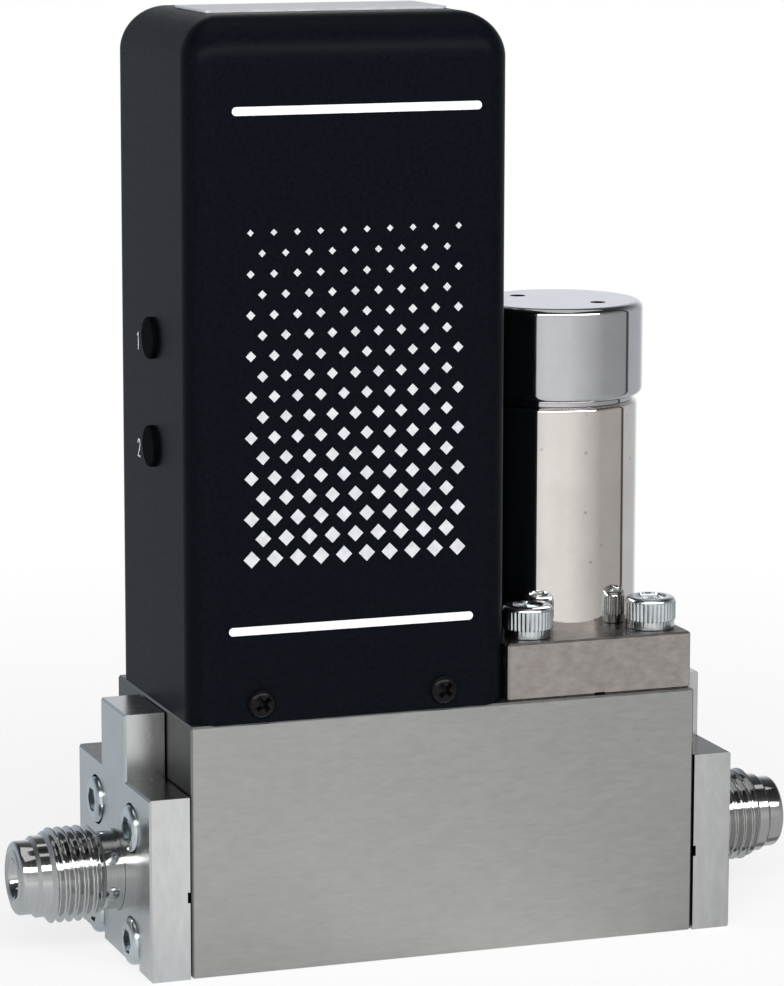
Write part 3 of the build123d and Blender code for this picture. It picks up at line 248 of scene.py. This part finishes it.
# ---- Flow block ----
# A milled stainless block that carries everything else and holds the gas passages.
# Its faces keep a fine satin grain that runs along the flow.
shoulder_height = 29 * MM
shoulder_blend = 2 * MM
facing_range = (0.6, 0.85)
cloud_scale = 45.0
cloud_share = 0.35
noise_range = (0.3, 0.7)
metal_stops = (0.42, 0.92)
dent_gain = 10


def dress(slot, material):
    """Give a finish to every solid of the record's slot."""
    for part in frame["record"]["subparts"]:
        if part["material_slot"] == slot:
            frame["nodes"][part["node"]].material_slots[0].material = material


def add_noise(material, place, scale, detail, roughness=0.5):
    """The output of a noise node with that many cells a metre."""
    noise = add_node(material, "ShaderNodeTexNoise")
    for key, value in (("Scale", scale), ("Detail", detail), ("Roughness", roughness)):
        noise.inputs[key].default_value = value
    material.node_tree.links.new(place, noise.inputs["Vector"])
    return noise.outputs["Fac"]


def vary_surface(material, tone, stops, shades, height, gloss, dents):
    """Colour a material between two shades by tone, and set its gloss and dents by height.
    Stops are the tones of the two shades, gloss is the roughness and its swing, and dents are their
    strength and their depth in millimetres."""
    links = material.node_tree.links
    surface = material.node_tree.nodes["Principled BSDF"]
    tint = add_node(material, "ShaderNodeValToRGB")
    for band, stop, shade in zip(tint.color_ramp.elements, stops, shades):
        band.position = stop
        band.color = (*shade, 1)
    links.new(tone, tint.inputs["Fac"])
    links.new(tint.outputs["Color"], surface.inputs["Base Color"])
    roughness, swing = gloss
    rough = slope(material, height, *noise_range, roughness - swing, roughness + swing)
    links.new(rough, surface.inputs["Roughness"])
    relief = add_node(material, "ShaderNodeBump")
    relief.inputs["Strength"].default_value = dents[0]
    relief.inputs["Distance"].default_value = dents[1] * MM
    links.new(height, relief.inputs["Height"])
    links.new(relief.outputs["Normal"], surface.inputs["Normal"])


def grained_metal(name, dark, light, roughness, grain, relief=0.02, swing=0.08):
    """Metal with drawn grain: noise stretched by grain, in lines per metre along X, Y and Z."""
    material, _ = begin_material(name, light, roughness, 1.0)
    place = add_node(material, "ShaderNodeTexCoord").outputs["Object"]
    stretch = add_node(material, "ShaderNodeMapping")
    stretch.inputs["Scale"].default_value = grain
    material.node_tree.links.new(place, stretch.inputs["Vector"])
    lines = add_noise(material, stretch.outputs["Vector"], 1.0, 5.0, 0.65)
    clouds = add_noise(material, place, cloud_scale, 3.0)
    tone = maths(material, "MULTIPLY_ADD", clouds, cloud_share, lines)
    vary_surface(
        material, tone, metal_stops, (dark, light), lines, gloss=(roughness, swing),
        dents=(relief * dent_gain, relief))
    return material


def paint_shade_by_face(material, ends, tops, high_tops=None):
    """Paint shade into the base colour: darken the faces that look along X by ends and the ones that look
    up by tops, or by high_tops above the flanges' shoulders."""
    links = material.node_tree.links
    surface = material.node_tree.nodes["Principled BSDF"]
    base = surface.inputs["Base Color"].links[0].from_socket
    place = add_node(material, "ShaderNodeTexCoord")
    facing = add_node(material, "ShaderNodeSeparateXYZ")
    links.new(place.outputs["Normal"], facing.inputs["Vector"])
    upward = slope(material, facing.outputs["Z"], *facing_range, 1.0, tops)
    if high_tops is not None:
        spot = add_node(material, "ShaderNodeSeparateXYZ")
        links.new(place.outputs["Object"], spot.inputs["Vector"])
        over = shoulder_height + shoulder_blend
        high = slope(material, spot.outputs["Z"], shoulder_height, over, 0.0, 1.0)
        gain = slope(material, facing.outputs["Z"], *facing_range, 0.0, high_tops - tops)
        upward = maths(material, "ADD", upward, maths(material, "MULTIPLY", high, gain))
    endward = slope(material, maths(material, "ABSOLUTE", facing.outputs["X"]), *facing_range, 1.0, ends)
    tone = maths(material, "MULTIPLY", endward, upward)
    shaded_colour = add_node(material, "ShaderNodeVectorMath", operation="SCALE")
    links.new(base, shaded_colour.inputs["Vector"])
    links.new(tone, shaded_colour.inputs["Scale"])
    links.new(shaded_colour.outputs["Vector"], surface.inputs["Base Color"])


satin_steel = grained_metal(
    "satin_steel", (0.365, 0.366, 0.352), (0.425, 0.426, 0.410), 0.36, (420, 1500, 1700),
    relief=0.004, swing=0.04)
# Painted shade: the block's faces that look along X are darkened to 0.15 of their colour, and its top faces
# to 0.70.
paint_shade_by_face(satin_steel, ends=0.15, tops=0.70)
dress("satin_steel", satin_steel)

# ---- End flanges ----
# Two T-shaped flanges of brighter milled steel, each held to the block by four screws.
# Their wide faces are ground, with a short upright grain.
flange_steel = grained_metal(
    "flange_steel", (0.57, 0.58, 0.575), (0.68, 0.69, 0.685), 0.24, (700, 700, 260),
    relief=0.003, swing=0.04)
# Painted shade: the flanges' faces that look along X are darkened to 0.88 of their colour, and their top
# faces below the shoulders to 0.08; the tops above the shoulders keep their colour.
paint_shade_by_face(flange_steel, ends=0.88, tops=0.08, high_tops=1.0)
dress("flange_steel", flange_steel)

# ---- Gland fittings ----
# Face-seal glands turned in one piece: shoulder, neck, ring, helical thread, collar and nose.
# The thread is cut at 18 turns to the inch, and the whole gland is electropolished.
thread_pitch = 25.4 / 18
thread_depth = 0.80
crest_flat = 0.14
root_flat = 0.14
gland_steps = 120
thread_step = 0.06
gland_sharp = 40
mount_places = {mount["name"]: mount["pos_m"] for mount in frame["record"]["mounts"]}
# Rings of the gland: the distance from the middle of the block and the radius.
shank_rings = (
    (40.05, 2.3), (40.05, 7.9), (40.15, 8.0), (41.9, 8.0), (42.0, 5.9),
    (46.2, 5.9), (46.2, 6.2), (46.65, 6.2), (46.65, 5.9), (48.9, 5.9),
)
thread_blank = ((48.9, 5.9), (50.14, 7.14), (56.5, 7.14), (57.3, 6.1))
crest_end, crest_radius = thread_blank[2]
nose_rings = (
    (57.3, 6.1), (58.75, 6.1), (59.3, 5.55), (61.0, 5.55), (61.27, 5.50), (61.50, 5.35), (61.65, 5.12),
    (61.7, 4.85), (61.7, 4.5), (61.83, 4.35), (61.95, 4.15), (62.0, 3.9), (61.95, 3.65), (61.83, 3.45),
    (61.7, 3.3), (61.7, 3.1), (60.5, 2.3), (40.05, 2.3),
)


def ring_mesh(name, rings, place, steps):
    """Skin rings of points round the Z axis, then move the mesh by the place matrix.
    A ring is its height and its radius, and a radius may be a function of the angle."""
    points, faces = [], []
    for height, radius in rings:
        for step in range(steps):
            angle = 2 * math.pi * step / steps
            reach = radius(angle) if callable(radius) else radius
            points.append(place @ (Vector((reach * math.cos(angle), reach * math.sin(angle), height)) * MM))
    for row in range(len(rings) - 1):
        for step in range(steps):
            after = (step + 1) % steps
            faces.append((
                row * steps + step, row * steps + after,
                (row + 1) * steps + after, (row + 1) * steps + step,
            ))
    mesh = bpy.data.meshes.new(name)
    mesh.from_pydata(points, [], faces)
    return mesh


def close_mesh(mesh, sharp=30):
    """Weld what meets, face everything outwards and shade it smooth between sharp edges."""
    work = bmesh.new()
    work.from_mesh(mesh)
    bmesh.ops.remove_doubles(work, verts=work.verts, dist=1e-7)
    bmesh.ops.dissolve_degenerate(work, edges=work.edges, dist=1e-8)
    bmesh.ops.recalc_face_normals(work, faces=work.faces)
    work.to_mesh(mesh)
    work.free()
    mesh.shade_smooth()
    mesh.set_sharp_from_angle(angle=math.radians(sharp))
    return mesh


def blank_radius(along):
    """Radius of the thread's blank at a distance from the middle of the block."""
    for (near, low), (far, high) in zip(thread_blank, thread_blank[1:]):
        if along <= far:
            return low + (high - low) * (along - near) / (far - near)


def thread_radius(along, angle):
    """Radius of the thread's surface, never outside the blank."""
    turns = ((along - crest_end) / thread_pitch - angle / (2 * math.pi)) % 1.0
    away = 2 * abs(turns - 0.5)
    fall = min(max((away - crest_flat) / (1 - crest_flat - root_flat), 0), 1)
    return min(blank_radius(along), crest_radius - thread_depth * fall)


def gland_rings():
    """The gland's rings in order, with close ones along the thread."""
    start, end = thread_blank[0][0], thread_blank[-1][0]
    count = int((end - start) / thread_step)
    rings = list(shank_rings)
    for index in range(1, count):
        along = start + (end - start) * index / count
        rings.append((along, lambda angle, along=along: thread_radius(along, angle)))
    return rings + list(nose_rings)


polished_steel = grained_metal(
    "polished_steel", (0.49, 0.495, 0.485), (0.57, 0.575, 0.565), 0.09, (2500, 200, 200),
    relief=0.002, swing=0.03)
dress("fitting_steel", polished_steel)
for side_name, side in (("inlet", -1), ("outlet", 1)):
    port_height = mount_places[f"{side_name}_thread"][2]
    gland_place = Matrix.Translation((0, 0, port_height)) @ Matrix.Rotation(side * math.pi / 2, 4, "Y")
    gland_mesh = ring_mesh(f"{side_name}_gland", gland_rings(), gland_place, gland_steps)
    close_mesh(gland_mesh, gland_sharp)
    gland_mesh.materials.append(polished_steel)
    gland = link_piece(f"{side_name}_gland", gland_mesh)
    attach(gland, "controller")
    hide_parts(f"{side_name}_fitting")

# ---- Flange screws and face seals ----
# Low-head socket screws with a blue-white zinc coat sit in the flange seats.
# A soft nickel ring seals each flange to the block.
zinc = grained_metal(
    "zinc_coat", (0.50, 0.55, 0.57), (0.70, 0.74, 0.755), 0.19, (500, 500, 500), relief=0.01, swing=0.06)
dress("zinc", zinc)
seal_nickel = grained_metal(
    "seal_nickel", (0.55, 0.53, 0.48), (0.66, 0.64, 0.58), 0.3, (700, 700, 700), relief=0.01)
dress("seal_nickel", seal_nickel)

# ---- Filter, restrictor and sensor ----
# Turned and drawn steel pieces inside the block and on top of it, under the cover.
# They have plain machined faces.
speckle_stops = (0.35, 0.65)
speckle_swing = 0.05
speckle_dents = 0.5
inner_steel = grained_metal(
    "machined_steel", (0.48, 0.48, 0.48), (0.60, 0.60, 0.60), 0.34, (1200, 1200, 300), relief=0.02)
dress("inner_steel", inner_steel)
magnetic_steel = grained_metal(
    "magnetic_steel", (0.42, 0.42, 0.41), (0.55, 0.55, 0.54), 0.3, (1000, 1000, 1000), relief=0.02)
dress("magnetic_steel", magnetic_steel)
frame_aluminium = grained_metal(
    "milled_aluminium", (0.62, 0.62, 0.64), (0.74, 0.74, 0.76), 0.38, (300, 1600, 1600), relief=0.02)
dress("frame_aluminium", frame_aluminium)


def speckled(name, dark, light, roughness, scale, relief, specular=0.5):
    """A matt or moulded surface: fine speckle in its colour, its gloss and its height."""
    material, surface = begin_material(name, light, roughness, 0.0)
    surface.inputs["Specular IOR Level"].default_value = specular
    place = add_node(material, "ShaderNodeTexCoord").outputs["Object"]
    grains = add_noise(material, place, scale, 6.0, 0.6)
    vary_surface(
        material, grains, speckle_stops, (dark, light), grains, gloss=(roughness, speckle_swing),
        dents=(speckle_dents, relief))
    return material


dress("seal_rubber", speckled("seal_rubber", (0.03, 0.03, 0.028), (0.06, 0.055, 0.05), 0.6, 900, 0.03))

# ---- Circuit board ----
# A green board with moulded chips, blue trimmers, brass pins and copper windings.
# It stands inside the cover and shows only when the cover is off.
dress("board_green", speckled("board_green", (0.02, 0.12, 0.05), (0.035, 0.18, 0.08), 0.35, 400, 0.02))
dress("chip_plastic", speckled(
    "chip_plastic", (0.014, 0.014, 0.015), (0.026, 0.026, 0.027), 0.5, 1500, 0.03))
dress("trimmer_blue", speckled("trimmer_blue", (0.04, 0.12, 0.38), (0.06, 0.17, 0.48), 0.4, 1200, 0.02))
dress("natural_nylon", speckled("natural_nylon", (0.72, 0.70, 0.62), (0.82, 0.80, 0.72), 0.45, 900, 0.02))
dress("connector_black", speckled(
    "connector_black", (0.014, 0.014, 0.015), (0.024, 0.024, 0.026), 0.3, 900, 0.02))
dress("brass", grained_metal(
    "turned_brass", (0.66, 0.50, 0.22), (0.80, 0.64, 0.32), 0.25, (900, 900, 900)))
dress("copper_wire", grained_metal(
    "enamelled_copper", (0.55, 0.26, 0.13), (0.72, 0.38, 0.20), 0.28, (400, 400, 3600)))

# ---- Cover ----
# A drawn aluminium box with fine low-gloss black paint, screwed to the frame on both long sides.
# The paint has a very fine texture and a few dust specks.


def add_specks(material, scale, reach, strength, colour):
    """Put small spots of a colour on a material: one in each of that many cells a metre, as wide as
    reach, which is a share of the cell, and that strong in its middle."""
    links = material.node_tree.links
    surface = material.node_tree.nodes["Principled BSDF"]
    base = surface.inputs["Base Color"].links[0].from_socket
    place = add_node(material, "ShaderNodeTexCoord")
    cells = add_node(material, "ShaderNodeTexVoronoi")
    cells.inputs["Scale"].default_value = scale
    choose = add_node(material, "ShaderNodeMix", data_type="RGBA")
    choose.inputs["B"].default_value = (*colour, 1)
    links.new(place.outputs["Object"], cells.inputs["Vector"])
    share = slope(material, cells.outputs["Distance"], 0.0, reach, strength, 0.0)
    links.new(share, choose.inputs["Factor"])
    links.new(base, choose.inputs["A"])
    links.new(choose.outputs["Result"], surface.inputs["Base Color"])


black_paint = speckled(
    "black_paint", (0.0020, 0.0027, 0.0045), (0.0038, 0.0048, 0.0073), 0.36, 1800, 0.015, specular=0.035)
paint_surface = black_paint.node_tree.nodes["Principled BSDF"]
paint_surface.inputs["Specular Tint"].default_value = (0.80, 0.92, 1.0, 1)
add_specks(black_paint, scale=650.0, reach=0.10, strength=0.5, colour=(0.015, 0.017, 0.020))
dress("black_paint", black_paint)
cover_low, cover_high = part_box("cover")
cover_front = cover_low.y
cover_left = cover_low.x

# ---- White bars and field of marks ----
# Two thin white bars and a field of pale marks, screen-printed on the cover's front.
# The marks are small diamonds in staggered rows that shrink from the foot to the top.
ink_height = 0.03
bar_width = 1.25
bar_end_steps = 12
# Each bar: its left end, its right end and its height.
bars = ((-33.1, 4.9, 126.9), (-33.9, 3.9, 51.5))
mark_rows = 17
mark_left, mark_right = -30.4, 1.4
mark_bottom, mark_top = 62.0, 109.5
mark_columns = 10
mark_foot_half, mark_top_half = 1.25, 0.5


def printed(name, shapes, plane_y, material):
    """Flat ink: each shape is a list of X and Z points, raised a little off the front."""
    points, faces = [], []
    for shape in shapes:
        first = len(points)
        count = len(shape)
        points.extend((x * MM, plane_y, z * MM) for x, z in shape)
        points.extend((x * MM, plane_y - ink_height * MM, z * MM) for x, z in shape)
        faces.append(tuple(range(first + count, first + 2 * count)))
        for index in range(count):
            after = (index + 1) % count
            faces.append((first + index, first + after, first + count + after, first + count + index))
    mesh = bpy.data.meshes.new(name)
    mesh.from_pydata(points, [], faces)
    mesh.materials.append(material)
    piece = link_piece(name, mesh)
    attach(piece, "controller")
    return piece


def rounded_bar(left, right_end, height, width):
    """Outline of a straight bar with round ends."""
    radius, outline = width / 2, []
    for centre, start in ((right_end - radius, -90), (left + radius, 90)):
        for step in range(bar_end_steps + 1):
            angle = math.radians(start + 180 * step / bar_end_steps)
            outline.append((centre + radius * math.cos(angle), height + radius * math.sin(angle)))
    return outline


white_ink = speckled("white_ink", (0.80, 0.80, 0.82), (0.88, 0.88, 0.90), 0.55, 700, 0.01)
pale_ink = speckled("pale_ink", (0.50, 0.50, 0.52), (0.60, 0.60, 0.62), 0.55, 700, 0.01)
printed("front_bars", [rounded_bar(*bar, bar_width) for bar in bars], cover_front, white_ink)
mark_pitch = (mark_right - mark_left) / (mark_columns - 1)
diamonds = []
for row in range(mark_rows):
    share = row / (mark_rows - 1)
    mark_z = mark_bottom + (mark_top - mark_bottom) * share
    half_size = mark_foot_half + (mark_top_half - mark_foot_half) * share
    for column in range(mark_columns - row % 2):
        mark_x = mark_left + mark_pitch * (column + (row % 2) / 2)
        diamonds.append([
            (mark_x + half_size, mark_z), (mark_x, mark_z + half_size),
            (mark_x - half_size, mark_z), (mark_x, mark_z - half_size),
        ])
printed("front_marks", diamonds, cover_front, pale_ink)

# ---- Plugs and their numbers ----
# Two black rubber plugs close the holes of the adjusting screws on the narrow side.
# A plain printed number stands before each one.
plug_names = ("span_plug", "zero_plug")
number_y = 7.3
number_drop = 1.4
stroke_radius = 0.17
stroke_flatness = 0.2
# Points of the two numbers' lines, across and up from the middle of each number.
number_strokes = (
    ((-0.45, 0.85), (0.1, 1.3), (0.1, -1.3)),
    ((-0.62, 0.75), (-0.25, 1.25), (0.4, 1.15), (0.55, 0.55), (0.1, -0.3), (-0.62, -1.25), (0.65, -1.25)),
)
black_rubber = speckled(
    "black_rubber", (0.0015, 0.0018, 0.0022), (0.003, 0.0035, 0.004), 0.65, 900, 0.02, specular=0.012)
dress("black_rubber", black_rubber)
for number, (plug_name, strokes) in enumerate(zip(plug_names, number_strokes), start=1):
    line = bpy.data.curves.new(f"plug_number_{number}", "CURVE")
    line.dimensions = "3D"
    line.bevel_depth = stroke_radius * MM
    line.bevel_resolution = 2
    line.use_fill_caps = True
    spline = line.splines.new("POLY")
    spline.points.add(len(strokes) - 1)
    number_z = middle(plug_name).z - number_drop * MM
    for point, (across, rise) in zip(spline.points, strokes):
        point.co = (0, (number_y - across) * MM, number_z + rise * MM, 1)
    drawn = link_piece("number_line", line)
    bpy.context.view_layer.update()
    number_mesh = bpy.data.meshes.new_from_object(
        drawn.evaluated_get(bpy.context.evaluated_depsgraph_get()))
    bpy.data.objects.remove(drawn)
    for vertex in number_mesh.vertices:
        vertex.co.x = cover_left + vertex.co.x * stroke_flatness
    number_mesh.materials.clear()
    number_mesh.materials.append(white_ink)
    number_piece = link_piece(f"plug_number_{number}", number_mesh)
    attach(number_piece, "controller")

# ---- Cover screws ----
# Black cross-recess pan heads hold the cover to the frame, two on each long side.
# Each one is a turned head with a pressed cross.
screw_columns = (-29.05, -0.75)
cover_screw_z = middle("cover_screws").z
pan_steps = 72
pan_sharp = 35
cross_turns = (38, 46)
# The recess over the head and at its floor: height, reach and half width of each arm.
cross_sections = ((1.5, 1.4375, 0.371), (-0.2, 0.6875, 0.287))
black_steel = speckled(
    "black_oxide", (0.003, 0.003, 0.004), (0.007, 0.007, 0.008), 0.24, 900, 0.02, specular=0.10)
dress("black_steel", black_steel)
# Rings of a screw from the end of its shank to its crown: the height over the cover and the radius.
pan_outline = (
    (-7.5, 0.0), (-7.5, 1.3), (-7.4, 1.4), (0.0, 1.4), (0.0, 2.0), (0.08, 2.1), (0.35, 2.1), (0.62, 2.03),
    (0.88, 1.85), (1.08, 1.55), (1.2, 1.15), (1.27, 0.6), (1.3, 0.0),
)


def cross_cutter(place):
    """Two crossed wedges that press the recess into a head."""
    points, faces = [], []
    for turned in (False, True):
        first = len(points)
        for height, reach, half_width in cross_sections:
            for along, across in ((-1, -1), (1, -1), (1, 1), (-1, 1)):
                x, y = along * reach, across * half_width
                points.append(place @ (Vector((y, -x, height) if turned else (x, y, height)) * MM))
        faces.extend(
            tuple(first + index for index in face)
            for face in ((3, 2, 1, 0), (4, 5, 6, 7), (0, 1, 5, 4), (1, 2, 6, 5), (2, 3, 7, 6), (3, 0, 4, 7))
        )
    mesh = bpy.data.meshes.new("cross_cutter")
    mesh.from_pydata(points, [], faces)
    return close_mesh(mesh)


def cut_from(mesh, cutter_mesh):
    """The mesh that is left when the cutter's shape is taken away."""
    block, cutter = link_piece("cut_block", mesh), link_piece("cut_tool", cutter_mesh)
    cut = block.modifiers.new("cut", "BOOLEAN")
    cut.operation = "DIFFERENCE"
    cut.solver = "EXACT"
    cut.use_self = True
    cut.object = cutter
    bpy.context.view_layer.update()
    result = bpy.data.meshes.new_from_object(block.evaluated_get(bpy.context.evaluated_depsgraph_get()))
    bpy.data.objects.remove(block)
    bpy.data.objects.remove(cutter)
    return result


for facing in (-1, 1):
    for index, screw_x in enumerate(screw_columns):
        seat_y = cover_front if facing < 0 else cover_high.y
        outward = Matrix.Rotation(math.pi / 2 if facing < 0 else -math.pi / 2, 4, "X")
        spin = Matrix.Rotation(math.radians(cross_turns[index]), 4, "Z")
        pan_place = Matrix.Translation((screw_x * MM, seat_y, cover_screw_z)) @ outward @ spin
        pan_mesh = close_mesh(ring_mesh("pan_head", pan_outline, pan_place, pan_steps), pan_sharp)
        pan_mesh = cut_from(pan_mesh, cross_cutter(pan_place))
        close_mesh(pan_mesh, pan_sharp)
        pan_mesh.materials.clear()
        pan_mesh.materials.append(black_steel)
        face_name = "front" if facing < 0 else "back"
        pan_screw = link_piece(f"cover_screw_{face_name}_{index + 1}", pan_mesh)
        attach(pan_screw, "controller")
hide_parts("cover_screws")

# ---- Top label ----
# A thin satin foil plate, stuck to the top of the cover and left without any words.
# Its fine grain runs along its length.
label_foil = grained_metal(
    "label_foil", (0.82, 0.82, 0.84), (0.93, 0.93, 0.95), 0.4, (300, 900, 900), relief=0.005)
dress("label_foil", label_foil)

# ---- Valve plate ----
# A square steel plate, browner than the block, that clamps the valve over its orifice.
# It is milled from bar. Painted shade darkens its top to 0.28 of its colour and its faces that look along X
# to 0.9.
plate_steel = grained_metal(
    "plate_steel", (0.33, 0.296, 0.275), (0.445, 0.407, 0.383), 0.34, (500, 700, 900), relief=0.006)
paint_shade_by_face(plate_steel, ends=0.9, tops=0.28)
dress("plate_steel", plate_steel)

# ---- Valve screws ----
# Four socket-head cap screws hold the plate. Their heads are knurled above a plain band,
# rounded at the rim, and bright zinc plated.
screw_span_x, screw_span_y = 20.0, 26.2
head_turns = (11, 28, 45, 62)
plate_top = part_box("valve_plate")[1].z
knurl_radius = 3.85
knurl_count = 40
knurl_depth = 0.15
cap_steps = 240
cap_sharp = 28


def knurled(radius):
    """Radius with straight knurl teeth."""
    return lambda angle: radius - knurl_depth * abs(math.sin(knurl_count * angle / 2))


def hexagon(width):
    """Radius of a hexagonal socket of that width across its flats."""
    return lambda angle: width / 2 / math.cos((angle % (math.pi / 3)) - math.pi / 6)


# Rings of a screw from the end of its shank, over its head and down into the socket: the height over
# the plate and the radius.
cap_rings = (
    (-17.5, 0.0), (-17.5, 2.1), (-17.3, 2.4), (0.0, 2.4), (0.0, 3.55), (0.12, 3.7), (1.25, 3.7),
    (1.4, knurled(knurl_radius)), (1.5, knurled(knurl_radius)), (4.05, knurled(knurl_radius)),
    (4.2, 3.80), (4.42, 3.74), (4.60, 3.61), (4.72, 3.43), (4.78, 3.2), (4.8, 2.95), (4.8, 2.42),
    (4.62, hexagon(4.1)), (4.5, hexagon(4.0)), (2.2, hexagon(4.0)), (1.7, 0.0),
)
screws_x = middle("valve_screws").x
valve_screw_places = [
    (screws_x + side_x * screw_span_x / 2 * MM, side_y * screw_span_y / 2 * MM)
    for side_x in (-1, 1) for side_y in (-1, 1)
]
for number, ((screw_x, screw_y), head_turn) in enumerate(zip(valve_screw_places, head_turns), start=1):
    cap_place = Matrix.Translation((screw_x, screw_y, plate_top))
    cap_place = cap_place @ Matrix.Rotation(math.radians(head_turn), 4, "Z")
    cap_mesh = close_mesh(ring_mesh("cap_head", cap_rings, cap_place, cap_steps), cap_sharp)
    cap_mesh.materials.append(zinc)
    cap_screw = link_piece(f"valve_screw_{number}", cap_mesh)
    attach(cap_screw, "controller")
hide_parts("valve_screws")

# ---- Valve can and cap ----
# The coil sits in a polished nickel can, closed by a bright cap with two spanner holes.
# The can is drawn and plated, with a few dark specks, and the cap is turned and polished.
can_nickel = grained_metal(
    "can_nickel", (0.66, 0.615, 0.58), (0.77, 0.725, 0.69), 0.05, (160, 160, 120),
    relief=0.002, swing=0.01)
add_specks(can_nickel, scale=240.0, reach=0.09, strength=0.7, colour=(0.18, 0.16, 0.14))
dress("can_nickel", can_nickel)
cap_polish = grained_metal(
    "cap_polish", (0.50, 0.505, 0.525), (0.57, 0.575, 0.60), 0.07, (160, 160, 160),
    relief=0.001, swing=0.02)
dress("cap_polish", cap_polish)
